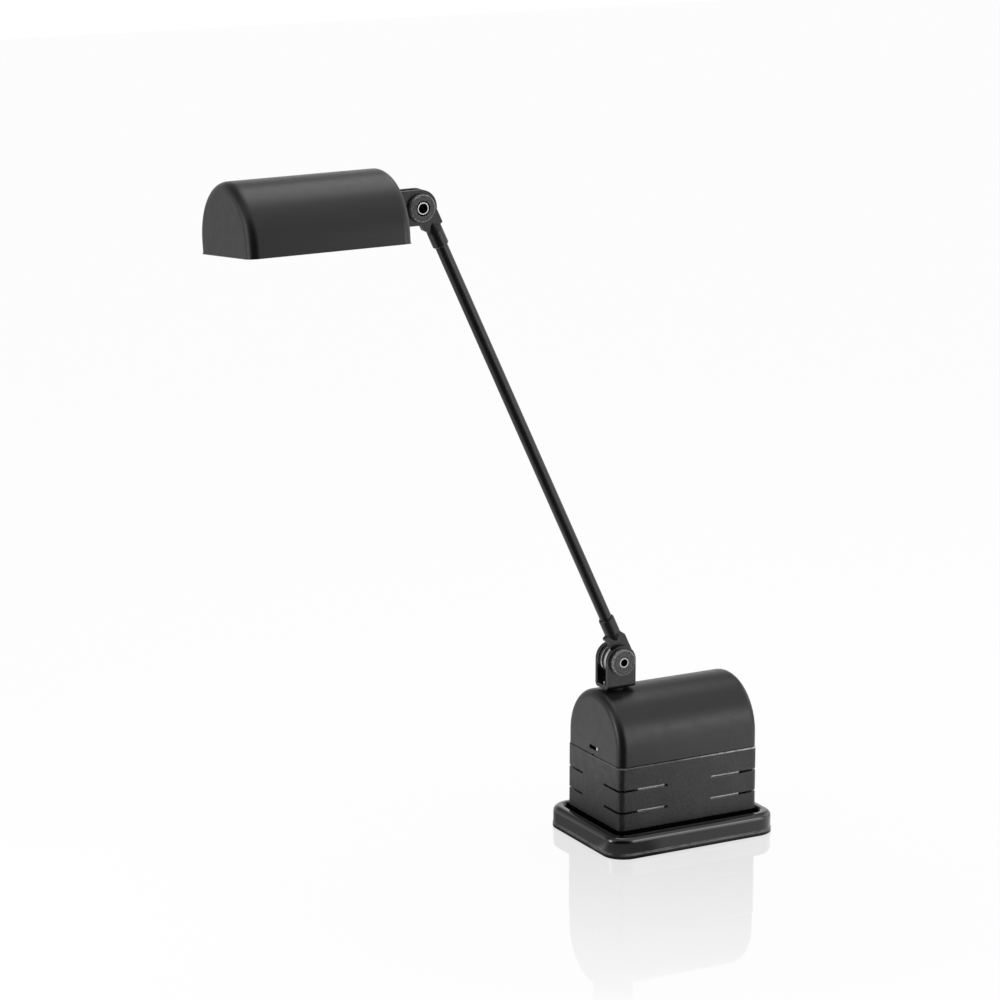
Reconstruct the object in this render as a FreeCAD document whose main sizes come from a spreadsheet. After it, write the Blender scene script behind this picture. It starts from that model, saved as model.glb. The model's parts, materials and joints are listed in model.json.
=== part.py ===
import FreeCAD, Part
import math
import os

import Sketcher
from FreeCAD import Placement, Rotation, Vector

# Desk lamp with a weighted transformer base, one tilting arm and a half-round shade.
# Millimetres. X runs along the base, Y across it and Z up.
# The origin is the centre of the base's underside, on the table.
# Each sub-part is built in a frame of its own, then placed by its pivot or seat.

DIMENSIONS = (
    ("tray_border_x", 13.05, "housing's face to the tray's edge, along X"),
    ("tray_border_y", 14.5, "housing's face to the tray's edge, along Y"),
    ("tray_corner", 18.2, "plan radius of the tray's corners"),
    ("tray_lift", 0.1, "gap between the table and the tray's edge"),
    ("tray_height", 18.0, "table to the crest of the rim"),
    ("rim_top_round", 4.8, "outer rounding of the rim's crest"),
    ("rim_foot_round", 0.6, "outer rounding of the rim's foot"),
    ("rim_inner_round", 2.4, "inner rounding of the rim's crest"),
    ("rim_breadth", 9.7, "tray's edge to the valley wall"),
    ("bead_height", 3.7, "table to the top of the bead along the tray's foot"),
    ("bead_reach", 0.5, "bead past the rim's side"),
    ("valley_height", 8.5, "table to the valley floor"),
    ("floor_height", 6.0, "table to the floor inside the plinth"),
    ("plinth_height", 19.5, "table to the housing's seat"),
    ("plinth_inset", 1.6, "plinth stands this far inside the housing's face"),
    ("plinth_wall", 3.0, "wall of the hollow plinth"),
    ("pad_inset", 7.0, "tray's edge to the recess for the pad"),
    ("pad_thickness", 3.0, "rubber base pad"),
    ("pad_clearance", 0.3, "side gap of the pad in its recess"),
    ("ballast_gap", 2.3, "steel ballast plate to the screw posts and the plinth's wall"),
    ("ballast_thickness", 6.0, "steel ballast plate"),
    ("housing_length", 130.7, "vented housing and cover, along X"),
    ("housing_width", 85.8, "vented housing and cover, along Y"),
    ("housing_corner", 5.0, "plan radius of the housing's corners"),
    ("housing_wall", 2.4, "moulded wall of the housing"),
    ("seam_height", 72.0, "table to the seam under the cover"),
    ("seam_chamfer", 0.5, "edge break on both sides of the seam"),
    ("vent_height", 2.0, "opening height of a vent slot"),
    ("vent_low", 34.3, "table to the lower row of slots"),
    ("vent_high", 52.6, "table to the upper row of slots"),
    ("vent_gap_long", 40.8, "unslotted middle of a long face"),
    ("vent_gap_short", 34.4, "unslotted middle of an end face"),
    ("post_radius", 4.0, "screw posts in the corners"),
    ("post_inset_x", 6.0, "post axis to the housing's end face"),
    ("post_inset_y", 9.9, "post axis to the housing's long face"),
    ("post_height", 11.0, "screw posts of the housing, above the plinth"),
    ("base_screw", 3.0, "diameter of the base screws"),
    ("base_screw_head", 6.0, "head diameter of the base screws"),
    ("base_screw_head_height", 2.2, "head height of the base screws"),
    ("base_screw_grip", 20.0, "length of the base screws under the head"),
    ("cover_skirt", 12.0, "straight skirt of the cover"),
    ("cover_wall", 1.5, "sheet of the cover"),
    ("cover_round", 6.6, "rounding of the cover's end edges"),
    ("latch_width", 13.0, "latch window in each end of the cover"),
    ("latch_height", 3.4, "height of the latch window"),
    ("latch_sill", 5.0, "seam to the bottom of the latch window"),
    ("notch_width", 5.0, "pry notch in the cover's edge"),
    ("notch_height", 1.2, "height of the pry notch"),
    ("latch_thickness", 1.2, "spring steel latch tab"),
    ("latch_clearance", 0.4, "play of the tab in its window"),
    ("latch_foot", 14.0, "latch tab below the window, on the housing's wall"),
    ("core_end_gap", 17.35, "transformer core to the housing's end faces"),
    ("core_depth", 60.0, "transformer core, along Y"),
    ("core_stack", 38.0, "height of the laminations"),
    ("core_front_gap", 0.4, "core to the housing's front wall"),
    ("core_shift", 1.0, "core's centre off the housing's, along X"),
    ("core_limb", 15.0, "outer limb of the core"),
    ("core_centre_limb", 30.0, "centre limb of the core"),
    ("core_yoke", 15.0, "yoke of the core"),
    ("core_base", 25.0, "table to the lowest lamination"),
    ("bobbin_wall", 1.2, "wall of the bobbin"),
    ("winding_thickness", 9.6, "build-up of the winding on the bobbin"),
    ("winding_margin", 1.6, "thickness of the bobbin's flanges"),
    ("bracket_thickness", 1.6, "steel angle under each end of the core"),
    ("bracket_inset", 2.5, "core's edge to the end of the steel angle"),
    ("bracket_foot", 6.0, "foot of the steel angle"),
    ("core_bolt", 4.0, "bolts through the core"),
    ("core_bolt_head", 7.0, "heads and nuts of the core bolts"),
    ("core_bolt_head_height", 2.6, "height of those heads"),
    ("terminal_length", 30.0, "terminal block, along X"),
    ("terminal_depth", 12.0, "terminal block, along Y"),
    ("terminal_height", 11.0, "terminal block"),
    ("terminal_inset", 37.35, "terminal block's middle to the housing's end face"),
    ("switch_length", 21.0, "switch bezel, along X"),
    ("switch_height", 15.0, "switch bezel, along Z"),
    ("switch_rim", 1.6, "bezel thickness on the housing's face"),
    ("switch_border", 2.2, "bezel border around the rocker"),
    ("switch_depth", 13.0, "switch body behind the bezel"),
    ("switch_z", 44.0, "table to the switch's centre"),
    ("switch_fit", 0.2, "play of the switch in its cut-out"),
    ("rocker_gap", 0.35, "play around the rocker"),
    ("rocker_angle", 22.0, "travel of the rocker"),
    ("rocker_depth", 5.0, "depth of the rocker below the bezel"),
    ("rocker_pin", 1.6, "diameter of the rocker's pins"),
    ("rocker_pin_depth", 0.9, "reach of the rocker's pins into the switch body"),
    ("rocker_pin_set", 1.8, "housing's face to the rocker's pins"),
    ("gland_radius", 5.0, "cable inlet bush, body"),
    ("gland_flange", 6.6, "cable inlet bush, flange radius"),
    ("gland_bore", 3.2, "cable inlet bush, hole radius"),
    ("gland_flange_thickness", 2.0, "cable inlet bush, flange"),
    ("gland_length", 9.0, "cable inlet bush, body length"),
    ("gland_gap", 2.35, "inlet bush to the screw post beside it"),
    ("gland_z", 26.6, "table to the inlet"),
    ("joint_inset", 20.2, "swivel axis to the housing's end face"),
    ("spacer_radius", 7.0, "swivel spacer on the cover"),
    ("spacer_thickness", 1.4, "swivel spacer at the cover's crest"),
    ("seat_thickness", 3.0, "swivel seat under the cover's crest"),
    ("swivel_screw", 6.0, "swivel bolt"),
    ("swivel_head", 10.0, "head of the swivel bolt"),
    ("swivel_head_height", 3.0, "head height of the swivel bolt"),
    ("swivel_washer_thickness", 1.2, "spring washer under the seat"),
    ("swivel_nut_height", 5.0, "nut of the swivel bolt"),
    ("swivel_nut_radius", 5.7, "nut of the swivel bolt, over its corners"),
    ("stop_pin", 3.6, "head diameter of the stop pin"),
    ("stop_pin_x", -8.6, "stop pin off the swivel axis"),
    ("stop_pin_y", 1.5, "stop pin off the swivel axis"),
    ("lower_clevis_width", 26.2, "ears of the lower clevis"),
    ("upper_clevis_width", 27.4, "ears of the upper clevis"),
    ("clevis_sheet", 3.0, "sheet of both clevises"),
    ("clevis_bend", 3.5, "outer bend radius of both clevises"),
    ("lower_clevis_depth", 19.8, "over both ears of the lower clevis"),
    ("upper_clevis_depth", 12.5, "over both ears of the upper clevis"),
    ("lower_pivot_reach", 22.7, "lower clevis, base to pivot"),
    ("upper_pivot_reach", 24.4, "upper clevis, base to pivot"),
    ("pivot_screw", 6.0, "pivot bolts"),
    ("pivot_play", 0.05, "radial play of every bolt in its hole"),
    ("lower_pivot_head", 8.0, "round head of the lower pivot bolt"),
    ("upper_pivot_head", 9.3, "round head of the upper pivot bolt"),
    ("pivot_head_height", 2.1, "height of those heads"),
    ("pivot_hex_ring", 1.2, "hexagon socket's corners to the head's edge"),
    ("pivot_hex_depth", 1.7, "depth of the hexagon socket"),
    ("disc_diameter", 21.0, "friction discs outside the ears"),
    ("disc_thickness", 3.1, "friction discs outside the ears"),
    ("lower_disc_recess", 8.6, "recess for the bolt's head in the lower discs"),
    ("upper_disc_recess", 11.3, "recess for the bolt's head in the upper discs"),
    ("disc_recess_depth", 2.3, "depth of those recesses"),
    ("disc_edge", 0.6, "rounding of the disc's edge"),
    ("rim_washer_diameter", 22.4, "thin washer behind each disc"),
    ("rim_washer_thickness", 1.0, "thin washer behind each disc"),
    ("shim_radius", 11.5, "steel shims beside the tongues"),
    ("shim_thickness", 0.75, "steel shims beside the tongues"),
    ("friction_radius", 13.2, "friction washer of the lower joint"),
    ("friction_thickness", 1.2, "friction washer of the lower joint"),
    ("steel_washer_thickness", 1.0, "steel washer of the lower joint"),
    ("back_washer_thickness", 1.5, "washer at the lower clevis's back ear"),
    ("spring_radius", 12.4, "conical disc springs of the lower joint"),
    ("spring_sheet", 0.9, "sheet of a disc spring"),
    ("arm_reach", 423.1, "pivot to pivot"),
    ("arm_lean", 25.2, "arm off the vertical, in degrees"),
    ("tube_offset", 5.1, "tube axis off the line through the pivots"),
    ("tube_diameter", 10.0, "arm tube"),
    ("tube_wall", 1.0, "arm tube"),
    ("tube_stop", 24.2, "pivot to the tube's end, on the socket's floor"),
    ("socket_radius", 6.4, "socket of the arm fittings"),
    ("socket_start", 24.0, "pivot to the full socket"),
    ("socket_end", 38.2, "pivot to the mouth of the lower socket"),
    ("upper_socket_end", 36.8, "pivot to the mouth of the upper socket"),
    ("socket_lip", 1.0, "rounding of the socket's mouth"),
    ("neck_start", 16.5, "pivot to the start of the neck"),
    ("neck_radius", 2.4, "radius of the neck where it leaves the tongue"),
    ("eye_radius", 12.9, "eye of the tongue round the pivot"),
    ("tongue_thickness", 5.0, "tongue of the arm fittings"),
    ("tongue_wide_side", 13.8, "pivot line to the lower tongue's far edge"),
    ("tongue_wide_start", 0.9, "pivot to where that edge is straight"),
    ("tongue_knee", 3.0, "rounding of the lower tongue's sloping shoulder"),
    ("upper_wide_side", 13.2, "pivot line to the upper tongue's far edge"),
    ("upper_wide_start", 4.4, "pivot to where that edge is straight"),
    ("tongue_corner", 0.9, "rounding of the other corners of the tongues"),
    ("tongue_near_side", 3.8, "pivot line to the tongue's near edge"),
    ("shoulder_low", 17.4, "pivot to the start of the lower tongue's sloping shoulder"),
    ("upper_shoulder_low", 18.6, "pivot to the start of the upper tongue's sloping shoulder"),
    ("shoulder_high", 22.5, "pivot to the end of the sloping shoulders"),
    ("hook_top", 23.0, "pivot to the top of the square shoulder"),
    ("hook_depth", 3.0, "height of the square shoulder's lip"),
    ("shade_length", 134.5, "shade, along its long axis"),
    ("shade_radius", 45.8, "half-round top of the shade"),
    ("shade_skirt", 8.8, "straight skirt of the shade"),
    ("shade_wall", 1.0, "sheet of the shade"),
    ("shade_round", 7.6, "rounding of the shade's end edges"),
    ("shade_bolt_rise", 13.8, "bolt above the half-round's axis"),
    ("shade_spacer_radius", 9.0, "spacer between clevis and shade"),
    ("shade_spacer_thickness", 2.8, "spacer between clevis and shade"),
    ("shade_screw", 5.0, "bolt that carries the shade"),
    ("shade_screw_head", 9.2, "head of that bolt, over its corners"),
    ("shade_screw_head_height", 3.6, "head height of that bolt"),
    ("shade_washer_radius", 6.0, "washer inside the shade"),
    ("shade_washer_thickness", 1.0, "washer inside the shade"),
    ("shade_roll", -5.5, "shade turned about its bolt, in degrees"),
    ("shade_tilt", -0.7, "shade tilted about the upper pivot, in degrees"),
    ("bezel_lip", 0.5, "bezel stands out past the shade's face"),
    ("bezel_thickness", 0.8, "lip of the bezel"),
    ("bezel_frame", 7.5, "bezel's inner opening to the shade's face"),
    ("bezel_upstand", 5.0, "bezel's wall inside the shade"),
    ("bezel_wall", 1.4, "bezel's wall inside the shade"),
    ("bezel_fit", 0.1, "play of the bezel in the shade"),
    ("reflector_sheet", 0.8, "reflector"),
    ("reflector_radius", 35.0, "trough of the reflector"),
    ("reflector_end_gap", 20.0, "shade's end face to the trough"),
    ("lamp_drop", 11.0, "lamp's axis below the shade's bolt"),
    ("lamp_radius", 4.5, "glass capsule of the lamp"),
    ("lamp_length", 34.0, "glass capsule of the lamp"),
    ("lamp_pin_gap", 5.0, "spacing of the lamp's two pins"),
    ("lamp_pin", 1.0, "diameter of the lamp's pins"),
    ("lamp_pin_length", 7.0, "length of the lamp's pins"),
    ("holder_length", 15.0, "ceramic lamp holder, along the shade"),
    ("holder_width", 18.0, "ceramic lamp holder"),
    ("holder_height", 8.0, "ceramic lamp holder"),
    ("lamp_hole", 5.6, "radius of the hole in the reflector's end for the lamp"),
)

doc = FreeCAD.newDocument("desk_lamp")
sheet = doc.addObject("Spreadsheet::Sheet", "dims")


class Size:
    """A length that carries its number and the sheet expression behind it."""

    def __init__(self, number, text):
        self.number = number
        self.text = text

    def joined(self, other, sign, number):
        return Size(number, "(%s %s %s)" % (self.text, sign, as_size(other).text))

    def __add__(self, other):
        return self.joined(other, "+", self.number + as_size(other).number)

    def __sub__(self, other):
        return self.joined(other, "-", self.number - as_size(other).number)

    def __mul__(self, other):
        return self.joined(other, "*", self.number * as_size(other).number)

    def __truediv__(self, other):
        return self.joined(other, "/", self.number / as_size(other).number)

    def __neg__(self):
        return Size(-self.number, "(0 - %s)" % self.text)

    def root(self):
        return Size(math.sqrt(self.number), "sqrt(%s)" % self.text)


def as_size(value):
    return value if isinstance(value, Size) else Size(float(value), "%r" % float(value))


def fill_sheet():
    """Write the driving dimensions into the sheet and return them by name."""
    for row, (name, value, note) in enumerate(DIMENSIONS, 1):
        sheet.set("A%d" % row, name)
        sheet.set("B%d" % row, str(value))
        sheet.set("C%d" % row, note)
        sheet.setAlias("B%d" % row, name)
    doc.recompute()
    return {name: Size(float(sheet.get(name)), "dims.%s" % name) for name, _, _ in DIMENSIONS}


D = fill_sheet()
ZERO = as_size(0.0)
SUB_PARTS = []


def bind(thing, **sizes):
    """Bind properties of a document object to sizes of the sheet."""
    for prop, size in sizes.items():
        thing.setExpression(prop, as_size(size).text)


def vector(x, y, z):
    return Vector(as_size(x).number, as_size(y).number, as_size(z).number)


def at(x, y, z, rotation=None):
    return Placement(vector(x, y, z), rotation or Rotation())


def keep(thing, label, placement=None):
    """Name a finished sub-part and list it for export."""
    thing.Label = label
    if placement is not None:
        thing.Placement = placement
    SUB_PARTS.append(thing)
    return thing


def new_body(name):
    return doc.addObject("PartDesign::Body", name + "_body")


def new_sketch(body, plane="XY_Plane", lift=ZERO, shift_x=ZERO, shift_y=ZERO):
    """Sketch on one of the body's own origin planes, lifted along its normal."""
    sketch = body.newObject("Sketcher::SketchObject", "sketch")
    origin = [face for face in body.Origin.OriginFeatures if face.Role == plane][0]
    sketch.AttachmentSupport = [(origin, "")]
    sketch.MapMode = "FlatFace"
    sketch.AttachmentOffset = at(shift_x, shift_y, lift)
    for axis, size in (("x", shift_x), ("y", shift_y), ("z", lift)):
        sketch.setExpression("AttachmentOffset.Base.%s" % axis, as_size(size).text)
    return sketch


def hold(sketch, kind, geometry, point, size):
    """Bind one coordinate of a sketch point, measured from the sketch's origin."""
    size = as_size(size)
    index = sketch.addConstraint(Sketcher.Constraint(kind, -1, 1, geometry, point, size.number))
    sketch.setExpression("Constraints[%d]" % index, size.text)


def draw_outline(sketch, corners, arcs=None):
    """Closed outline through bound corners; arcs maps a corner to its arc's centre.

    The arc runs counter-clockwise from that corner to the next one.
    """
    arcs = arcs or {}
    first = sketch.GeometryCount
    count = len(corners)
    for i, (x, y) in enumerate(corners):
        start = vector(x, y, 0)
        end = vector(corners[(i + 1) % count][0], corners[(i + 1) % count][1], 0)
        if i in arcs:
            centre = vector(arcs[i][0], arcs[i][1], 0)
            angles = [math.atan2(p.y - centre.y, p.x - centre.x) for p in (start, end)]
            if angles[1] <= angles[0]:
                angles[1] += 2 * math.pi
            circle = Part.Circle(centre, Vector(0, 0, 1), (start - centre).Length)
            sketch.addGeometry(Part.ArcOfCircle(circle, angles[0], angles[1]), False)
        else:
            sketch.addGeometry(Part.LineSegment(start, end), False)
    for i in range(count):
        link = Sketcher.Constraint("Coincident", first + i, 2, first + (i + 1) % count, 1)
        sketch.addConstraint(link)
    for i, (x, y) in enumerate(corners):
        hold(sketch, "DistanceX", first + i, 1, x)
        hold(sketch, "DistanceY", first + i, 1, y)
    for i, centre in arcs.items():
        start, end = corners[i], corners[(i + 1) % count]
        across = abs(as_size(end[0]).number - as_size(start[0]).number)
        along = abs(as_size(end[1]).number - as_size(start[1]).number)
        if across > along:
            hold(sketch, "DistanceY", first + i, 3, centre[1])
        else:
            hold(sketch, "DistanceX", first + i, 3, centre[0])


def draw_block(sketch, length, width, x=ZERO, y=ZERO):
    """Rectangle of the given length and width about a centre."""
    half_x, half_y = length / 2, width / 2
    x, y = as_size(x), as_size(y)
    draw_outline(sketch, [(x - half_x, y - half_y), (x + half_x, y - half_y),
                          (x + half_x, y + half_y), (x - half_x, y + half_y)])


def draw_circle(sketch, radius, x=ZERO, y=ZERO):
    radius = as_size(radius)
    circle = Part.Circle(vector(x, y, 0), Vector(0, 0, 1), radius.number)
    index = sketch.addGeometry(circle, False)
    hold(sketch, "DistanceX", index, 3, x)
    hold(sketch, "DistanceY", index, 3, y)
    bound = sketch.addConstraint(Sketcher.Constraint("Radius", index, radius.number))
    sketch.setExpression("Constraints[%d]" % bound, radius.text)


def settle(body, feature):
    """Recompute and stop at once if the new feature failed."""
    doc.recompute()
    if "Invalid" in feature.State or "Error" in feature.State:
        raise ValueError("%s of %s: %s" % (feature.Name, body.Name, feature.getStatusString()))


def extrude(body, kind, sketch, length, symmetric=False, backwards=False):
    """Pad or Pocket of a sketch, checked by volume so that it really adds or cuts."""
    before = 0.0 if body.Shape.isNull() else body.Shape.Volume
    feature = body.newObject("PartDesign::" + kind, kind.lower())
    feature.Profile = sketch
    feature.SideType = "Symmetric" if symmetric else "One side"
    feature.Reversed = backwards
    bind(feature, Length=length)
    settle(body, feature)
    change = body.Shape.Volume - before
    if change == 0.0 or (change > 0.0) != (kind == "Pad"):
        raise ValueError("%s in %s changes nothing" % (kind, body.Name))
    return feature


def pad(body, sketch, length, symmetric=False, backwards=False):
    return extrude(body, "Pad", sketch, length, symmetric, backwards)


def pocket(body, sketch, length, symmetric=False, backwards=False):
    return extrude(body, "Pocket", sketch, length, symmetric, backwards)


def revolve(body, kind, sketch):
    feature = body.newObject("PartDesign::" + kind, kind.lower())
    feature.Profile = sketch
    feature.ReferenceAxis = (sketch, ["V_Axis"])
    feature.Angle = 360.0
    settle(body, feature)
    return feature


def edges_of(feature, test):
    """Names of the edges whose bounding box and length pass a test."""
    names = []
    for index, edge in enumerate(feature.Shape.Edges, 1):
        if test(edge, edge.BoundBox):
            names.append("Edge%d" % index)
    return names


def faces_of(feature, test):
    return ["Face%d" % i for i, face in enumerate(feature.Shape.Faces, 1) if test(face)]


def dress(body, kind, feature, names, **sizes):
    """Fillet, Chamfer or Thickness on named edges or faces of a feature."""
    dressed = body.newObject("PartDesign::" + kind, kind.lower())
    dressed.Base = (feature, names)
    if kind == "Thickness":
        dressed.Reversed = True
        dressed.Join = 0
    bind(dressed, **sizes)
    settle(body, dressed)
    return dressed


def near(value, target):
    return abs(value - as_size(target).number) < 0.02


def upright(edge, box):
    return box.XLength < 0.01 and box.YLength < 0.01


def level(z, edge, box):
    return near(box.ZMin, z) and near(box.ZMax, z)


def cylinder(radius, height, placement=None):
    solid = doc.addObject("Part::Cylinder", "cylinder")
    bind(solid, Radius=radius, Height=height)
    solid.Placement = placement or Placement()
    return solid


def box(length, width, height, placement=None):
    solid = doc.addObject("Part::Box", "box")
    bind(solid, Length=length, Width=width, Height=height)
    solid.Placement = placement or Placement()
    return solid


def hexagon(radius, height, placement=None):
    solid = doc.addObject("Part::Prism", "hexagon")
    solid.Polygon = 6
    bind(solid, Circumradius=radius, Height=height)
    solid.Placement = placement or Placement()
    return solid


def cut(base, tool):
    result = doc.addObject("Part::Cut", "cut")
    result.Base = base
    result.Tool = tool
    return result


def fuse(*shapes):
    result = doc.addObject("Part::MultiFuse", "fuse")
    result.Shapes = list(shapes)
    return result


def common(first, second):
    result = doc.addObject("Part::MultiCommon", "common")
    result.Shapes = [first, second]
    return result


def group(*shapes):
    """Separate solids of one node, such as a set of screws."""
    result = doc.addObject("Part::Compound", "group")
    result.Links = list(shapes)
    return result


def ring(outer, inner, height, placement=None):
    """Washer along Z, from its lower face."""
    body = cylinder(outer, height)
    hole = cylinder(inner, height)
    solid = cut(body, hole)
    solid.Placement = placement or Placement()
    return solid


SIDES = (-1, 1)
TURN_TO_Y = Rotation(Vector(1, 0, 0), -90)
TURN_TO_MINUS_Y = Rotation(Vector(1, 0, 0), 90)
TURN_TO_X = Rotation(Vector(0, 1, 0), 90)

# Heights and places that several sub-parts share.
half_length = D["housing_length"] / 2
half_width = D["housing_width"] / 2
tray_length = D["housing_length"] + D["tray_border_x"] * 2
tray_width = D["housing_width"] + D["tray_border_y"] * 2
joint_x = D["joint_inset"] - half_length
cover_axis = D["seam_height"] + D["cover_skirt"]
cover_top = cover_axis + half_width
clevis_base = cover_top + D["spacer_thickness"]
lower_pivot_z = clevis_base + D["lower_pivot_reach"]
post_x = half_length - D["post_inset_x"]
post_y = half_width - D["post_inset_y"]
gland_x = D["post_radius"] + D["gland_radius"] + D["gland_gap"] - post_x
ballast_length = (post_x - D["post_radius"] - D["ballast_gap"]) * 2
ballast_width = (half_width - D["plinth_inset"] - D["plinth_wall"] - D["ballast_gap"]) * 2
core_length = D["housing_length"] - D["core_end_gap"] * 2
ear_front = D["lower_clevis_depth"] / 2
tongue_front = ear_front - D["clevis_sheet"] - D["shim_thickness"]
arm_y = -(tongue_front - D["tongue_thickness"] / 2)
bolt_hole = D["pivot_screw"] / 2 + D["pivot_play"]
lean = math.radians(D["arm_lean"].number)
lower_pivot = vector(joint_x, ZERO, lower_pivot_z)
upper_pivot = lower_pivot + Vector(-math.sin(lean), 0, math.cos(lean)) * D["arm_reach"].number
arm_turn = Rotation(Vector(0, 1, 0), -D["arm_lean"].number)
head_turn = Rotation(Vector(0, 1, 0), D["shade_tilt"].number)


def base_pad():
    """Rubber pad that fills the recess under the tray."""
    body = new_body("base_pad")
    inset = (D["pad_inset"] + D["pad_clearance"]) * 2
    sketch = new_sketch(body)
    draw_block(sketch, tray_length - inset, tray_width - inset)
    block = pad(body, sketch, D["pad_thickness"])
    dress(body, "Fillet", block, edges_of(block, upright),
          Radius=D["tray_corner"] - D["pad_inset"] - D["pad_clearance"])
    holes = new_sketch(body)
    draw_posts(holes, D["base_screw_head"] / 2 + 0.8)
    pocket(body, holes, D["pad_thickness"], backwards=True)
    keep(body, "base_pad")


def draw_posts(sketch, radius):
    for side_x in SIDES:
        for side_y in SIDES:
            draw_circle(sketch, radius, post_x * side_x, post_y * side_y)


def base_tray():
    """Moulded tray: rounded rim on a foot bead, valley, hollow plinth, posts and pad recess."""
    body = new_body("base_tray")
    step = D["bead_reach"] * 2
    sketch = new_sketch(body, lift=D["tray_lift"])
    draw_block(sketch, tray_length - step, tray_width - step)
    block = pad(body, sketch, D["tray_height"] - D["tray_lift"])
    block = dress(body, "Fillet", block, edges_of(block, upright),
                  Radius=D["tray_corner"] - D["bead_reach"])

    inset = D["rim_breadth"] * 2
    valley_corner = D["tray_corner"] - D["rim_breadth"]
    valley_x = (tray_length - inset).number / 2
    sketch = new_sketch(body, lift=D["tray_height"])
    draw_block(sketch, tray_length - inset, tray_width - inset)
    block = pocket(body, sketch, D["tray_height"] - D["valley_height"])

    def in_valley(edge, bounds):
        return upright(edge, bounds) and near(abs(bounds.XMin), valley_x)

    block = dress(body, "Fillet", block, edges_of(block, in_valley), Radius=valley_corner)

    def on_crest(edge, bounds, inside):
        inner = max(abs(bounds.XMin), abs(bounds.XMax)) <= valley_x + 0.02
        return inner == inside and level(D["tray_height"], edge, bounds)

    outer_crest = edges_of(block, lambda edge, bounds: on_crest(edge, bounds, False))
    block = dress(body, "Fillet", block, outer_crest, Radius=D["rim_top_round"])
    inner_crest = edges_of(block, lambda edge, bounds: on_crest(edge, bounds, True))
    block = dress(body, "Fillet", block, inner_crest, Radius=D["rim_inner_round"])

    sketch = new_sketch(body, lift=D["tray_lift"])
    draw_block(sketch, tray_length, tray_width)
    block = pad(body, sketch, D["bead_height"] - D["tray_lift"])

    def on_bead(edge, bounds):
        return upright(edge, bounds) and near(abs(bounds.XMin), tray_length.number / 2)

    block = dress(body, "Fillet", block, edges_of(block, on_bead), Radius=D["tray_corner"])
    bead_top = outer_rim(block, D["bead_height"], tray_length / 2, tray_width / 2)
    block = dress(body, "Fillet", block, bead_top, Radius=D["bead_reach"] * 0.8)
    inset = D["pad_inset"] * 2
    recess_x = (tray_length - inset).number / 2
    sketch = new_sketch(body)
    draw_block(sketch, tray_length - inset, tray_width - inset)
    block = pocket(body, sketch, D["pad_thickness"], backwards=True)

    def in_recess(edge, bounds):
        return upright(edge, bounds) and near(abs(bounds.XMin), recess_x)

    block = dress(body, "Fillet", block, edges_of(block, in_recess),
                  Radius=D["tray_corner"] - D["pad_inset"])

    foot = outer_rim(block, D["tray_lift"], tray_length / 2, tray_width / 2)
    block = dress(body, "Fillet", block, foot, Radius=D["rim_foot_round"])

    plinth_length = D["housing_length"] - D["plinth_inset"] * 2
    plinth_width = D["housing_width"] - D["plinth_inset"] * 2
    sketch = new_sketch(body, lift=D["valley_height"])
    draw_block(sketch, plinth_length, plinth_width)
    block = pad(body, sketch, D["plinth_height"] - D["valley_height"])

    def on_plinth(edge, bounds):
        return upright(edge, bounds) and near(abs(bounds.XMin), plinth_length / 2)

    block = dress(body, "Fillet", block, edges_of(block, on_plinth),
                  Radius=D["housing_corner"] - D["plinth_inset"])
    sketch = new_sketch(body, lift=D["plinth_height"])
    wall = D["plinth_wall"] * 2
    draw_block(sketch, plinth_length - wall, plinth_width - wall)
    pocket(body, sketch, D["plinth_height"] - D["floor_height"])

    sketch = new_sketch(body, lift=D["floor_height"] - 0.5)
    draw_posts(sketch, D["post_radius"])
    pad(body, sketch, D["plinth_height"] - D["floor_height"] + 0.5)

    sketch = new_sketch(body)
    draw_posts(sketch, D["base_screw"] / 2 + D["pivot_play"] * 2)
    pocket(body, sketch, D["plinth_height"], backwards=True)
    sketch = new_sketch(body)
    draw_posts(sketch, D["base_screw_head"] / 2 + 0.4)
    pocket(body, sketch, D["pad_thickness"] + D["base_screw_head_height"] + 0.4, backwards=True)
    keep(body, "base_tray")


def base_screws():
    """Four pan-head screws that pull the housing down on the plinth."""
    screws = []
    seat = D["pad_thickness"] + 0.4
    for side_x in SIDES:
        for side_y in SIDES:
            x, y = post_x * side_x, post_y * side_y
            head = cylinder(D["base_screw_head"] / 2, D["base_screw_head_height"], at(x, y, seat))
            top = seat + D["base_screw_head_height"]
            shank = cylinder(D["base_screw"] / 2, D["base_screw_grip"], at(x, y, top))
            recess = hexagon(1.6, 1.2, at(x, y, seat))
            screws.append(cut(fuse(head, shank), recess))
    keep(group(*screws), "base_screws")


def ballast_plate():
    """Steel plate on the tray's floor; the transformer stands on it."""
    body = new_body("ballast_plate")
    sketch = new_sketch(body)
    draw_block(sketch, ballast_length, ballast_width)
    block = pad(body, sketch, D["ballast_thickness"])
    dress(body, "Chamfer", block, edges_of(block, upright), Size=3.0)
    keep(body, "ballast_plate", at(0, 0, D["floor_height"]))


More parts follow.
